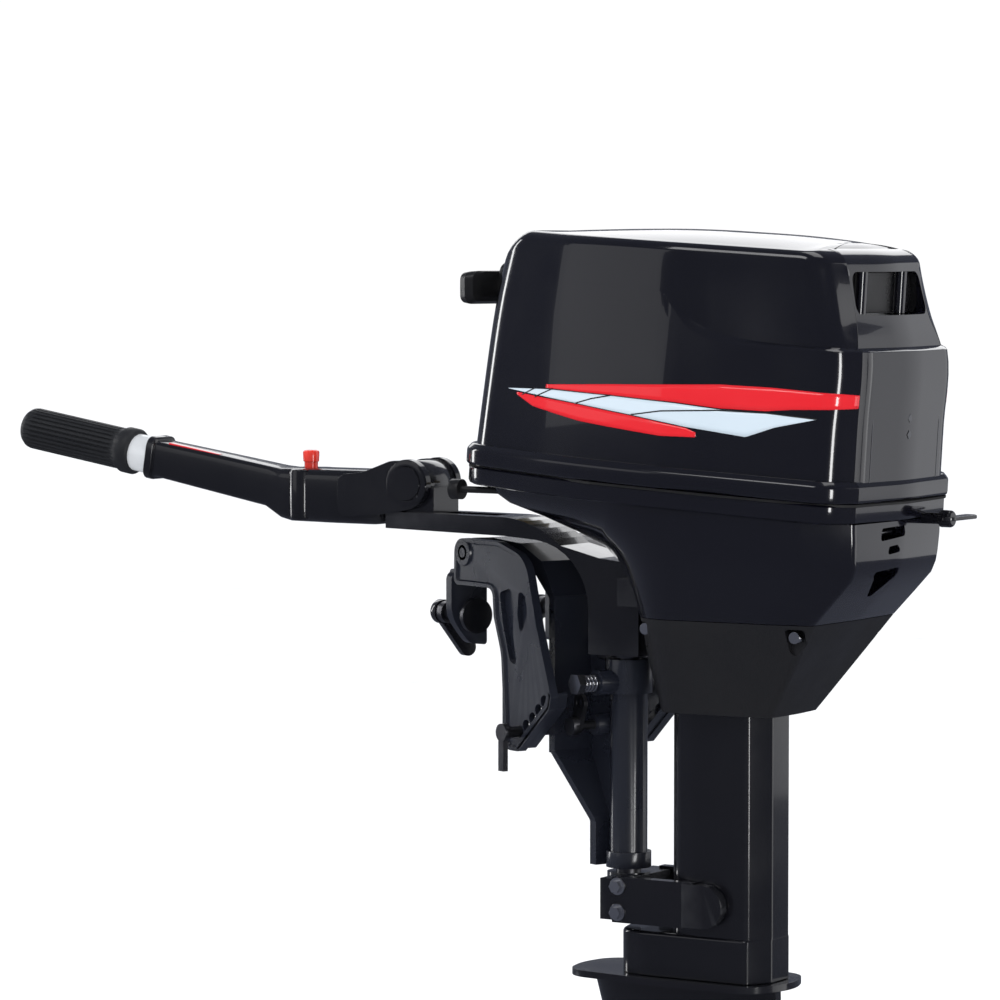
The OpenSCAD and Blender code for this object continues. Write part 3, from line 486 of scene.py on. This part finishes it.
# Where the starter rope leaves the cowl, and its direction into it
ROPE_START = steered(-126, -6, 274)
ROPE_YAW = math.radians(11)
ROPE_BACK = AFT * math.cos(ROPE_YAW) - BEAM * math.sin(ROPE_YAW)


def rope_guide():
    """The rounded guide through which the starter rope leaves the cowl."""
    profile = [(-34, 10.9), (-6, 10.9), (-4, 10.4), (-3.2, 9), (-3.1, 5), (-34, 4.4)]
    dress(turned("rope_guide", profile, ROPE_START, -ROPE_BACK, 40), "motor", "black_plastic")


def cowl_lip():
    """The rounded rim of the cowl, a hair over the parting line."""
    section = rounded([(-2, 0.4, 1.2), (6.3, 0.4, 3), (6.3, 14, 5), (2.2, 19, 2), (-2, 19, 1)], 5)
    rings = [[cowl_place(q.x, q.y, p.y) for q in subdivided(skin_outline(0, p.x), COUNTS)] for p in section]
    bm = bmesh.new()
    add_rings(bm, rings + [rings[0]], (False, False))
    dress(new_object("cowl_lip", bm, 28), "motor", "cowl_gloss")


def port_side():
    """Columns of the skin along the port side, from the front corner to the rear face's edge."""
    columns = [i for i, p in enumerate(SKIN[0]) if p.y < -60 and p.x < COWL_REAR + 0.01]
    return sorted(columns, key=lambda i: SKIN[0][i].x)


PORT = port_side()


def side_point(x, z, out, side):
    """A point on the cowl's side at cowl x and z, standing out from the skin; side is -1 to port."""
    low = 0
    while low < len(PORT) - 2 and SKIN[0][PORT[low + 1]].x < x:
        low += 1
    a, b = PORT[low], PORT[low + 1]
    share = (x - SKIN[0][a].x) / (SKIN[0][b].x - SKIN[0][a].x)
    normal = outward(SKIN[0], a).lerp(outward(SKIN[0], b), share)
    q = skin_at(a, z).lerp(skin_at(b, z), share) + normal * out
    return cowl_place(q.x, q.y * -side, z)


FILM = 0.12     # thickness of a printed stripe


def decal(name, low, high, out, slot, step=2.5):
    """A thin printed stripe on both sides of the cowl, between two lines of knots (x, z)."""
    first, last = max(low[0][0], high[0][0]), min(low[-1][0], high[-1][0])
    count = math.ceil((last - first) / step)
    bm = bmesh.new()
    for side in (-1, 1):
        rows = []
        for k in range(count + 1):
            x = first + (last - first) * k / count
            z0, z1 = line_at(low, x), max(line_at(high, x), line_at(low, x) + 0.02)
            rows.append([side_point(x, z0 + (z1 - z0) * t / 4, out, side) for t in range(5)])
        add_rings(bm, rows, (False, False), closed=False)
    obj = new_object(name, bm)
    thick = obj.modifiers.new("film", "SOLIDIFY")
    thick.thickness = FILM * MM
    thick.offset = 0
    dress(obj, "motor", slot)


def band(points, half):
    """The low and high lines of a thin stroke along points."""
    return [(x, z - half) for x, z in points], [(x, z + half) for x, z in points]


def decals():
    """Generic stripes in place of the lettering: a pale wedge between two red ones."""
    pale_top = [(-79, 71), (-26, 74), (41, 74.2), (104, 73), (147, 71), (191, 72), (238, 70)]
    pale_low = [(-79, 70.6), (7, 65), (64, 60), (117, 54), (174, 50), (200, 60), (238, 69.6)]
    red_top = [(-29, 78), (41, 84), (146, 92), (194, 93), (254, 92), (262.6, 91)]
    red_low = [(-29, 75), (41, 75), (104, 74), (147, 72), (191, 73), (214, 76), (254, 79), (262.6, 80)]
    under_top = [(-67, 68.5), (7, 64.2), (64, 59.2), (117, 53.2), (127, 50)]
    under_low = [(-67, 66.5), (-44, 58), (11, 50), (93, 44.5), (127, 46)]
    decal("stripe_pale", pale_low, pale_top, 0.3, "decal_pale")
    decal("stripe_red", red_low, red_top, 0.3, "decal_red")
    decal("stripe_under", under_low, under_top, 0.3, "decal_red")
    strokes = ([(64, 60), (92, 65.5), (147, 70.4), (191, 71.6), (238, 70)], [(-60, 66.5), (-43, 73.5)],
               [(-42, 66), (-21, 75)], [(5, 64.5), (22, 70), (42, 74.6)])
    for k, stroke in enumerate(strokes):
        low, high = band(stroke, 0.55)
        decal(f"stripe_line_{k}", low, high, 0.5, "black_plastic")


def rear_panel():
    """The thin framed label area on the rear face, left plain, with a generic two-diamond mark."""
    outer = rounded([(-62, 10, 7), (62, 10, 7), (62, 118, 7), (-62, 118, 7)], 6)
    inner = rounded([(-61, 11, 6.2), (61, 11, 6.2), (61, 117, 6.2), (-61, 117, 6.2)], 6)
    rings = [[cowl_place(face_x(p.x) + 0.35, p.x, p.y) for p in ring] for ring in (outer, inner)]
    bm = bmesh.new()
    add_rings(bm, rings, (False, False))
    pieces = [new_object("frame_line", bm)]
    for z in (70, 56):
        bm = bmesh.new()
        mark = ((-4, z), (0, z - 4), (4, z), (0, z + 4))
        bm.faces.new([bm.verts.new(cowl_place(face_x(y) + 0.4, y, height)) for y, height in mark])
        pieces.append(new_object("mark", bm))
    dress(joined("rear_label_frame", pieces), "motor", "decal_grey")


def face_x(y):
    """The proud rear panel's x at a place across it."""
    return COWL_REAR + 3.2 + 4.6 * (1 - abs(y) / 80)


# ---- Tray and apron ----
TRAY_RINGS = (
    # z, front x, front half width, side half width, rear half width, rear x, chamfer x
    (79, -121, 72, 116, 80, 264, 226),
    (72, -116, 71, 116, 80, 264, 226),
    (64, -101, 70, 115.5, 79.5, 264, 225),
    (56, -66, 68, 115, 79, 263.5, 224),
    (46, -30, 65, 114, 78, 263, 223),
    (36, -3, 61, 112, 77, 262, 221),
    (24, 11, 57, 107, 77, 258, 214),
    (4, 21, 51, 99, 77, 243, 199),
    (-19, 30, 46, 90, 77, 223, 182))
APRON_RINGS = ((-19.6, 30.4, 46, 89.6, 76.6, 222.6, 181.5), (-60, 35, 41, 72, 60, 195, 160),
               (-103, 48, 35, 53, 43, 165, 138))
# Pockets in the tray's rear: x low and high, then (y, z) corners
REAR_POCKETS = ((250, 275, (-36, 51), (8, 54), (6, 63), (-33, 62)),
                (252, 275, (-22, 39), (2, 41), (-6, 47), (-20, 46)),
                (236, 275, (-42, 25), (6, 28), (-16, 3), (-22, 3)))
APRON_SCREWS = ((53, 68), (205, 80))    # x and y of the screws on each side


SLOPE_PIVOT_X = 70


def hull_outline(front, front_half, side_half, rear_half, rear, chamfer):
    """The plan of the tray or apron at one height."""
    return rounded(both_sides([
        (front - 2, 0, 90), (front + 3, front_half * 0.72, 26), (60, side_half - 2, 130),
        (chamfer, side_half - 7, 9), (rear, rear_half, 7), (rear + 3, 0, 200)]), 8)


def tray():
    """The lower cowl: a rim under the parting line, the hull, and the pins in its rear pockets."""
    profile = ((-3, -0.6), (2.4, -0.8), (3.8, -2.4), (3.9, -13), (3, -15.6), (0.4, -17), (-3, -17))
    rim = [[cowl_place(p.x, p.y, z) for p in subdivided(skin_outline(0, grow), COUNTS)]
           for grow, z in profile]
    dress(loft("tray_rim", rim, (True, True), 28), "motor", "cowl_gloss")
    rings = [[steered(p.x, p.y, z - (p.x - SLOPE_PIVOT_X) * tilt_at(z)) for p in hull_outline(*sizes)]
             for z, *sizes in TRAY_RINGS]
    hull = loft("tray", rings, (True, True), 24)
    cutters = []
    for low, high, *corners in REAR_POCKETS:
        outline = rounded([(y, z, 3) for y, z in corners])
        cutters.append(loft("pocket", [[steered(x, p.x, p.y) for p in outline] for x in (low, high)]))
    boolean_cut(hull, joined("pockets", cutters))
    dress(hull, "motor", "cowl_gloss", ["bottom_cowl"])
    pins = [turned("pin", [(0, 2.8), (22, 2.8)], steered(241, -19, 3), (0, 0, 1), 24),
            turned("pin", [(0, 2.4), (34, 2.4)], steered(254, -30, 57), BEAM, 24)]
    dress(joined("tray_pins", pins), "motor", "zinc_steel")


def tilt_at(z):
    """How much a ring of the tray still follows the parting plane's slope."""
    return 0.061 * smoothstep(-19, 74, z)


def apron():
    """The apron under the tray, with a pocket round each of its screws."""
    rings = [[steered(p.x, p.y, z) for p in hull_outline(*sizes)] for z, *sizes in APRON_RINGS]
    hull = loft("apron_shell", rings, (True, True), 24)
    cutters = []
    for x, y in APRON_SCREWS:
        outline = rounded([(x - 8, -46, 5), (x + 5, -46, 4), (x + 10, -23, 3), (x - 8, -23, 3)])
        cutters += [slab("pocket", outline, *sorted((side * (y - 15), side * (y + 30))), steered)
                    for side in (-1, 1)]
    boolean_cut(hull, joined("pockets", cutters))
    dress(hull, "motor", "apron_plastic", ["apron"], 1.0)


# ---- Leg ----
def housing_outline(front, rear, half):
    """The leg's plan: a rounded nose and a flat tail."""
    return rounded(both_sides([(front, 0, 40), (front + 8, half * 0.8, 22), (front + 34, half, 40),
                               (rear - 14, half, 6), (rear, half * 0.42, 6)]), 8)


def leg():
    """The leg's tube and the wider foot that stands on the gearcase."""
    rings = [[steered(p.x, p.y, z) for p in housing_outline(51, 152, 35)] for z in (-20, -299)]
    tube = loft("leg_tube", rings)
    foot_rings = [[steered(p.x, p.y, z) for p in housing_outline(1 + grow, 152, 37 - grow)]
                  for z, grow in ((-297, 2), (-299, 0), (-336, 0))]
    dress(joined("leg_housing", [tube, loft("leg_foot", foot_rings)]), "motor", "paint_black",
          ["driveshaft_housing"], 1.5)


def foil(nose, tail, half, steps=28):
    """A strut's section: round nose, thickest at a third, and a thin flat tail."""
    side = []
    for k in range(steps + 1):
        t = k / steps
        x = nose + (tail - nose) * t * t
        share = (x - nose) / (tail - nose)
        y = half * (2.1 * math.sqrt(share) * (1 - share) ** 0.9 + 0.16 * share)
        side.append(Vector((x, min(y, half))))
    return side + [Vector((p.x, -p.y)) for p in reversed(side[1:])]


PROP_Z = -560       # the propeller shaft's height
AV_Z = -435         # the anti-ventilation plate's top
TORPEDO_R = 38


def gearcase():
    """Strut, splash plate, anti-ventilation plate, torpedo and skeg."""
    stations = ((-337, -34, 150, 30), (-380, -22, 151, 28), (-432, -6, 152, 25), (-442, -4, 152, 24),
                (-490, 8, 150, 20), (-530, 18, 150, 19), (-545, 22, 150, 19))
    strut = loft("strut", [[steered(p.x, p.y, z) for p in foil(a, b, h)] for z, a, b, h in stations])
    skeg_stations = ((-585, 24, 164, 9), (-610, 40, 168, 6), (-650, 74, 160, 4.5), (-680, 98, 152, 3),
                     (-687, 106, 148, 1.6))
    skeg = loft("skeg", [[steered(p.x, p.y, z) for p in foil(a, b, h)] for z, a, b, h in skeg_stations])
    angles = [math.pi / 2 * k / 16 for k in range(17)]
    nose = [(-8 + 68 * (1 - math.cos(a)), TORPEDO_R * math.sin(a)) for a in angles]
    body = nose + [(100, TORPEDO_R), (150, TORPEDO_R), (172, 37), (186, 35), (186.01, 34)]
    torpedo = turned("torpedo", body, steered(0, 0, PROP_Z), AFT, 80)
    splash = rounded(both_sides([(-48, 0, 60), (-40, 40, 40), (60, 50, 120), (150, 46, 26),
                                 (168, 0, 120)]), 8)
    vent = rounded(both_sides([(-14, 0, 30), (0, 26, 40), (70, 54, 60), (160, 76, 50), (258, 72, 44),
                               (262, 0, 200)]), 8)
    parts = [strut, skeg, torpedo, plate("splash", splash, -342, -336, steered),
             plate("vent", vent, AV_Z - 6, AV_Z, steered)]
    dress(joined("gear_housing", parts), "motor", "paint_black", ["gearcase"], 1.6)


# ---- Propeller ----
PITCH = 215         # advance in one turn
TIP_R = 108
ROOT_R = 24         # where the blades start, inside the hub
HUB_X = 225         # the blades' middle along the shaft
BLADES, BLADE_RINGS = 3, 15


def blade_ring(radius, chord, rake, skew, thick, turn):
    """A blade's section on a cylinder round the shaft: a thin foil along the screw's pitch."""
    angle = math.atan2(PITCH, 2 * math.pi * radius)
    points = []
    steps = 12
    for side in (1, -1):
        for k in range(steps + (side > 0)):
            t = k / steps if side > 0 else 1 - k / steps
            along = (t - 0.5) * chord + skew
            off = side * thick * (math.sin(math.pi * min(max(t, 0.02), 0.98)) ** 0.7)
            axial = rake + along * math.sin(angle) + off * math.cos(angle)
            round_it = (along * math.cos(angle) - off * math.sin(angle)) / radius + turn
            points.append(steered(HUB_X + axial, radius * math.sin(round_it),
                                  PROP_Z + radius * math.cos(round_it)))
    return points


def propeller():
    """Three blades, the hub and its nut."""
    blades = []
    for blade in range(BLADES):
        turn = blade * 2 * math.pi / BLADES
        rings = []
        for k in range(BLADE_RINGS):
            t = k / (BLADE_RINGS - 1)
            radius = ROOT_R + (TIP_R - 0.5 - ROOT_R) * t
            chord = (40 + 44 * math.sin(math.pi * (0.12 + 0.55 * t))) * math.sqrt(max(1 - t ** 5, 0.003))
            rings.append(blade_ring(radius, chord, 5 * t, 7 * t * t, 3.4 * (1 - 0.75 * t), turn))
        blades.append(loft("blade", rings, (True, True), 50))
    shaft = steered(0, 0, PROP_Z)
    profile = [(191, 20), (194, 33), (196, 33.5), (215, 32.5), (240, 29.5), (253, 27), (254, 25), (254, 10)]
    hub = turned("hub", profile, shaft, AFT)
    nut = turned("prop_nut", [(254, 14), (259, 14), (260, 12.5), (260, 0)], shaft, AFT, 6)
    dress(joined("screw", blades + [hub, nut]), "propeller", "paint_black", ["propeller"])


# ---- Tiller ----
TILLER_RISE = math.radians(9.3)
BEND_X, BEND_Z = -370, 78       # where the bar starts to rise
BUTTON_X = -338
KNUCKLE_X, KNUCKLE_Z = -215, 86


def tiller_place(x, y, z):
    """A point along the rising bar: x runs aft from the bend, in millimetres."""
    return steered(BEND_X + x * math.cos(TILLER_RISE) + z * math.sin(TILLER_RISE), y,
                   BEND_Z - x * math.sin(TILLER_RISE) + z * math.cos(TILLER_RISE))


def box_ring(place, x, z_low, z_high, half, radius):
    """A rounded rectangle across the bar at x."""
    corners = [(-half, z_low, radius), (half, z_low, radius), (half, z_high, radius), (-half, z_high, radius)]
    return [place(x, p.x, p.y) for p in rounded(corners, 6)]


def tiller():
    """The tiller's casting: bar, level part, cheeks and bosses at the knuckle, and a red mark."""
    rising = ((-146.5, -19, 19, 18, 9), (-145.5, -20, 20, 19, 9), (-139, -20, 20, 19, 9),
              (-138, -19, 19, 18, 9), (-137.5, -16.5, 16.5, 16, 5), (-60, -18, 17.5, 17, 5),
              (-6, -19, 18, 18, 5))
    level = ((-360, 50, 95.5, 22, 8), (-348, 47.5, 96, 24, 9), (-300, 47, 96, 24, 9), (-264, 47, 96, 24, 9),
             (-258, 47, 96, 23, 9), (-252, 47.5, 95.5, 20, 8), (-248.5, 48.5, 94.5, 16, 6),
             (-247, 50, 93, 11, 5))
    bar = [box_ring(tiller_place, *size) for size in rising] + [box_ring(steered, *size) for size in level]
    arm = loft("tiller_bar", bar)
    column = [(0, 9), (1.2, 10.6), (3, 11), (44, 11), (46, 10.2), (47, 8)]
    parts = [arm] + [turned("column", column, steered(BUTTON_X + 1, side * 17, 48.6), (0, 0, 1), 48)
                     for side in (-1, 1)]
    for side in (-1, 1):
        cheek = rounded([(-290, 54, 10), (-290, 92, 10), (-262, 95, 30), (-232, 106, 20), (-199, 106, 20),
                         (-195, 66, 20), (-236, 58, 14)], 8)
        parts.append(slab("cheek", cheek, *sorted((side * 21.2, side * 29)), steered))
        ring = [(21.3, 21.5), (29, 21.5), (30, 20.6), (30.4, 18.5), (30.4, 15.5), (29.4, 15), (29.4, 0)]
        parts.append(turned("boss", ring, steered(KNUCKLE_X, 0, KNUCKLE_Z), BEAM * side, 64))
    dress(joined("tiller_casting", parts), "tiller", "paint_black", ["tiller_arm"], 1.4)
    mark = [Vector((x, y)) for x, y in ((-124, -13), (-66, -13), (-66, -8), (-124, -8))]
    dress(plate("tiller_mark", mark, 15, 17.7, tiller_place), "tiller", "decal_red")


def stop_cap():
    """The red stop button: a plain cap on a thinner stem."""
    profile = [(0, 6.2), (16.2, 6.2), (16.6, 7.2), (24.6, 7.6), (26.2, 7), (26.9, 5.6)]
    cap = turned("stop_cap", profile, steered(BUTTON_X, 0, 85), (0, 0, 1), 56)
    dress(cap, "stop_button", "red_plastic", ["stop_button"])


def latch():
    """The cowl's rear latch: a pin through the tray's rear wall, a thin thumb tab and the hook inside."""
    y, z = 44, 67
    pin = turned("pin", [(0, 4.8), (38, 4.8), (38.4, 7.4), (48, 7.4), (50, 6)], steered(244, y, z), AFT, 40)
    tab = rounded([(282, 36, 8), (297, 36, 8), (298, 82, 7), (292, 90, 6), (283, 90, 3)], 6)
    hook = rounded([(246, 67, 1), (251, 67, 1), (251, 81, 2), (246, 81, 2)])
    pieces = [pin, plate("tab", tab, z - 1.6, z + 1.6, steered), slab("hook", hook, y - 5, y + 5, steered)]
    dress(joined("latch_tab", pieces), "cowl_latch", "paint_black", ["cowl_latch"], 0.8)


def grip():
    """The fluted rubber grip, with a plain rounded end and a collar."""
    length, radius, flutes, flute_depth, around = 131, 19.5, 28, 1.5, 336
    start = -167 - length
    rings = []
    profile = [(0, 0.02), (0.2, 11), (2.5, 16.5), (6, 18.9), (9, radius), (13, radius)]
    profile += [(14 + k * 4.05, radius) for k in range(25)]
    profile += [(length - 16, 19.8), (length - 13, 21.6), (length - 3, 21.6), (length - 0.5, 20),
                (length, 18.4)]
    for along, r in profile:
        fluted = smoothstep(8, 15, along) * smoothstep(length - 17, length - 24, along)
        ring = []
        for i in range(around):
            a = 2 * math.pi * i / around
            dip = max(0.0, math.cos(a * flutes)) ** 0.6 * flute_depth * fluted
            ring.append(tiller_place(start + along, (r - dip) * math.cos(a), (r - dip) * math.sin(a)))
        rings.append(ring)
    dress(loft("fluted_grip", rings, (True, True), 60), "throttle_grip", "grip_rubber",
          ["throttle_grip"])


# ---- Transom clamp ----
# Corners (x, z, radius) of the plate and of its two pockets
CLAMP_PLATE = ((-61, 37, 13), (8, 37, 34), (52, 25, 30), (69, -34, 40), (92, -95, 3), (89, -106, 3),
               (41, -147, 4), (20, -147, 9), (14, -62, 50), (2, -30, 20), (0, -5, 8), (-62, -5, 6))
CLAMP_POCKETS = (((9, -8, 3), (27, -3, 6), (32, -20, 8), (30, -42, 10), (36, -72, 3), (25, -68, 5),
                  (14, -34, 10)),
                 ((39, -5, 3), (49, -8, 4), (53, -24, 6), (42, -46, 3), (37, -26, 6)))
PIN_HOLES = ((40.5, -129.3), (51, -122.9), (60.8, -115.7), (70.1, -107.7), (78.7, -99.1))
PLATE_IN, PLATE_OUT = 65.5, 73.8        # the plate's faces, from the clamp's centre plane
RIM, RIM_SLOPE, RIM_DEPTH = 3.4, 1.2, 1.8


def clamp(side, node):
    """One side of the clamp: a rimmed plate with pin holes, the screw's hook, and flanges."""
    def place(x, y, z):
        return Vector((x, side * y, z)) * MM

    bm = bmesh.new()
    outline = rounded(CLAMP_PLATE)
    rows = add_rings(bm, [[place(p.x, y, p.y) for p in outline] for y in (PLATE_IN, PLATE_OUT)])
    outer = next(f for f in bm.faces if set(f.verts) == set(rows[1]))
    bm.normal_update()
    for thickness in (RIM, RIM_SLOPE):
        bmesh.ops.inset_region(bm, faces=[outer], thickness=thickness * MM, depth=0)
    for vert in outer.verts:
        vert.co.y -= side * RIM_DEPTH * MM
    plate_piece = new_object("plate", bm)
    cutters = [turned("pin_hole", [(-12, 5.2), (12, 5.2)], place(x, 70, z), (0, 1, 0), 28)
               for x, z in PIN_HOLES]
    cutters += [slab("pocket", rounded(pocket), 67, 78, place) for pocket in CLAMP_POCKETS]
    boolean_cut(plate_piece, joined("cutters", cutters))
    hook = rounded([(35, 6, 4), (73.6, 6, 8), (73.6, -36, 34), (54, -60, 14), (35, -62, 3)], 8)
    bridge = rounded([(-74.5, 8, 6), (0, 9, 3), (0, 0.2, 1), (-74.5, 0.2, 2)])
    face = rounded([(0.2, 8, 2), (7, 8, 3), (7, -136, 3), (0.2, -136, 2)])
    foot = rounded([(91, -92, 2), (88, -105, 3), (40, -146, 3), (36, -141, 2), (82, -102, 3), (86, -91, 2)])
    pieces = [plate_piece,
              loft("hook", [[place(x, p.x, p.y) for p in hook] for x in (-74.8, -66.2)]),
              slab("bridge", bridge, 35, 70, place), slab("face", face, 45, 63, place),
              slab("foot", foot, 55, PLATE_OUT, place),
              turned("tilt_boss", [(0, 12.4), (8, 12.8), (11, 11.5)], place(-48, 63, 24), (0, side, 0)),
              turned("screw_boss", [(0, 14), (6, 13.6), (8, 12), (8.1, 7.4)], place(-74.9, 54, -34),
                     (-1, 0, 0))]
    dress(joined(node + "_casting", pieces), "clamp", "clamp_paint", [node], 1.1)


def starter_grip():
    """The T handle of the starter rope: a tapered moulding with soft corners."""
    across = Vector((-ROPE_BACK.y, ROPE_BACK.x, 0))

    def place(along, y, z):
        return ROPE_START + (ROPE_BACK * along + across * y) * MM + Vector((0, 0, z * MM))

    sizes = ((-23.8, -23, -1, 30, 5), (-22.5, -25.5, 1.5, 33, 7), (-14, -26.5, 2.5, 36, 8),
             (-7, -24, 3, 33, 8), (-4.3, -20, 2.4, 26, 7))
    grip_piece = loft("grip", [box_ring(place, *size) for size in sizes])
    rope = turned("rope", [(-8, 1.7), (250, 1.7)], ROPE_START, ROPE_BACK, 16)
    dress(joined("starter_grip", [grip_piece, rope]), "starter_handle", "black_plastic",
          ["starter_handle"], 0.8)


# ---- CAD pieces that stay ----
EDGE_WIDTH = {
    "swivel_bracket": 1.6, "steering_bracket": 2.2, "lower_mount": 2.0, "tiller_bolt": 0.8,
    "clamp_handle_port": 1.2, "clamp_handle_starboard": 1.2, "shift_lever": 1.0, "choke_knob": 1.2,
    "reverse_lock": 0.6, "tilt_bolt": 0.6, "tilt_pin": 0.8, "mount_bolts": 0.5, "anode": 1.0,
    "apron_screws": 0.6, "friction_bolt": 0.4}
# Nodes that look other than their slot's finish: painted steel, plated steel drawn dark as painted shade
# where it sits in shadow, and the grip's pale sleeve
FINISH_AND_PAINTED_SHADE = {
    "tilt_bolt": "black_plastic", "tiller_bolt": "paint_black", "clamp_screw_port": "dark_steel",
    "clamp_screw_starboard": "dark_steel", "tilt_pin": "dark_steel", "throttle_shaft": "sleeve"}
WELD = 0.00002      # metres: joins the CAD mesh's split corners before its edges are rounded


def keep_cad():
    """Gives every CAD node its finish, and rounds the edges of those that show."""
    slots = {s["node"]: s["material_slot"] for s in frame["record"]["subparts"]}
    for name, obj in frame["nodes"].items():
        obj.data.materials.clear()
        obj.data.materials.append(FINISH[FINISH_AND_PAINTED_SHADE.get(name, slots[name])])
        if name in EDGE_WIDTH:
            weld = obj.modifiers.new("weld", "WELD")
            weld.merge_threshold = WELD
            soften(obj, EDGE_WIDTH[name], 2)


# ---- Stage ----
# The surround's strength and colour to each kind of ray
SEEN_WHITE = (1.04, (1, 1, 1, 1))
SOFT_LIGHT = (1.18, (0.97, 0.98, 1, 1))
DARK_STUDIO = (0.12, (0.72, 0.78, 1, 1))
FLOOR_RADIUS = 30
MIDDLE = (0.15, 0, 0.1)     # where most lights point
# Name, place, target, size, power, and whether it shows in reflections only
LIGHTS = (
    ("key", (0.6, -2.4, 3.0), MIDDLE, (1.6, 1.2), 16, False),
    ("top", (0.2, 0.6, 3.0), MIDDLE, (2.2, 1.2), 12, False),
    ("corner_strip", (3.44, -0.24, 0.02), (0.25, -0.02, 0.1), (0.5, 1.4), 24, True),
    ("port_sheen", (-0.78, -2.8, 0.95), MIDDLE, (2.0, 1.5), 3.5, True),
    ("starboard_soft", (0.6, 3.4, 0.3), MIDDLE, (2.4, 1.8), 6, True),
    ("rear_strip", (2.2, 3.0, 0.5), MIDDLE, (1.8, 3.2), 16, False),
    ("backdrop", (-2.6, 1.9, 1.6), (0.1, 0, 0.15), (3.2, 1.7), 22, True),
    ("front_strip", (-2.6, -1.2, 0.6), MIDDLE, (0.4, 2.0), 14, False))
# Off the port quarter, a little above the tray
CAMERA_AT = (3.3117, -2.2992, 0.3037)
CAMERA_AZIMUTH, CAMERA_PITCH = math.radians(56), math.radians(3.3)
CAMERA_LENS, SENSOR = 162, 36           # millimetres


def floor():
    """A plain pale floor, just under the skeg, left out of reflections."""
    bm = bmesh.new()
    bmesh.ops.create_circle(bm, cap_ends=True, segments=96, radius=FLOOR_RADIUS)
    ground = new_object("floor", bm)
    ground.location = (0.15, 0, CAD_LOW.z - 0.001)
    pale = material("floor_pale", (0.96, 0.96, 0.96), 0.8, specular=0.1, colour_drift=0.01)
    ground.data.materials.append(pale)
    ground.visible_glossy = False


def area_light(name, at, target, size, power, gloss_only):
    """A soft box that the camera doesn't see."""
    data = bpy.data.lights.new(name, "AREA")
    data.shape = "RECTANGLE"
    data.size, data.size_y = size
    data.energy = power
    obj = bpy.data.objects.new(name, data)
    obj.location = at
    obj.rotation_mode = "QUATERNION"
    obj.rotation_quaternion = (Vector(target) - Vector(at)).to_track_quat("-Z", "Y")
    obj.visible_camera = False
    obj.visible_diffuse = not gloss_only
    bpy.context.scene.collection.objects.link(obj)


def studio():
    """A pale surround: white to the camera, soft light, dark in reflections, and soft boxes."""
    world = bpy.data.worlds.new("studio")
    bpy.context.scene.world = world
    world.use_nodes = True
    nodes, links = world.node_tree.nodes, world.node_tree.links
    rays = nodes.new("ShaderNodeLightPath")
    backgrounds = []
    for strength, colour in (SEEN_WHITE, SOFT_LIGHT, DARK_STUDIO):
        background = nodes.new("ShaderNodeBackground")
        background.inputs["Color"].default_value = colour
        background.inputs["Strength"].default_value = strength
        backgrounds.append(background)
    seen, soft, dark = backgrounds
    gloss = nodes.new("ShaderNodeMixShader")
    links.new(rays.outputs["Is Glossy Ray"], gloss.inputs["Fac"])
    links.new(soft.outputs["Background"], gloss.inputs[1])
    links.new(dark.outputs["Background"], gloss.inputs[2])
    choose = nodes.new("ShaderNodeMixShader")
    links.new(rays.outputs["Is Camera Ray"], choose.inputs["Fac"])
    links.new(gloss.outputs["Shader"], choose.inputs[1])
    links.new(seen.outputs["Background"], choose.inputs[2])
    links.new(choose.outputs["Shader"], nodes["World Output"].inputs["Surface"])
    for light in LIGHTS:
        area_light(*light)


def camera():
    """A long lens, level with the cowls."""
    level = math.cos(CAMERA_PITCH)
    back = Vector((math.sin(CAMERA_AZIMUTH) * level, -math.cos(CAMERA_AZIMUTH) * level,
                   math.sin(CAMERA_PITCH)))
    data = bpy.data.cameras.new("camera")
    data.sensor_width = SENSOR
    data.lens = CAMERA_LENS
    data.clip_end = 100
    obj = bpy.data.objects.new("camera", data)
    obj.location = CAMERA_AT
    obj.rotation_mode = "QUATERNION"
    obj.rotation_quaternion = (-back).to_track_quat("-Z", "Y")
    bpy.context.scene.collection.objects.link(obj)
    bpy.context.scene.camera = obj


def main():
    camera()
    top_cowl()
    cowl_lip()
    rope_guide()
    decals()
    rear_panel()
    tray()
    apron()
    leg()
    gearcase()
    propeller()
    tiller()
    grip()
    clamp(-1, "clamp_bracket_port")
    clamp(1, "clamp_bracket_starboard")
    starter_grip()
    stop_cap()
    latch()
    keep_cad()
    floor()
    studio()
    bpy.context.scene.view_settings.view_transform = "Standard"


main()
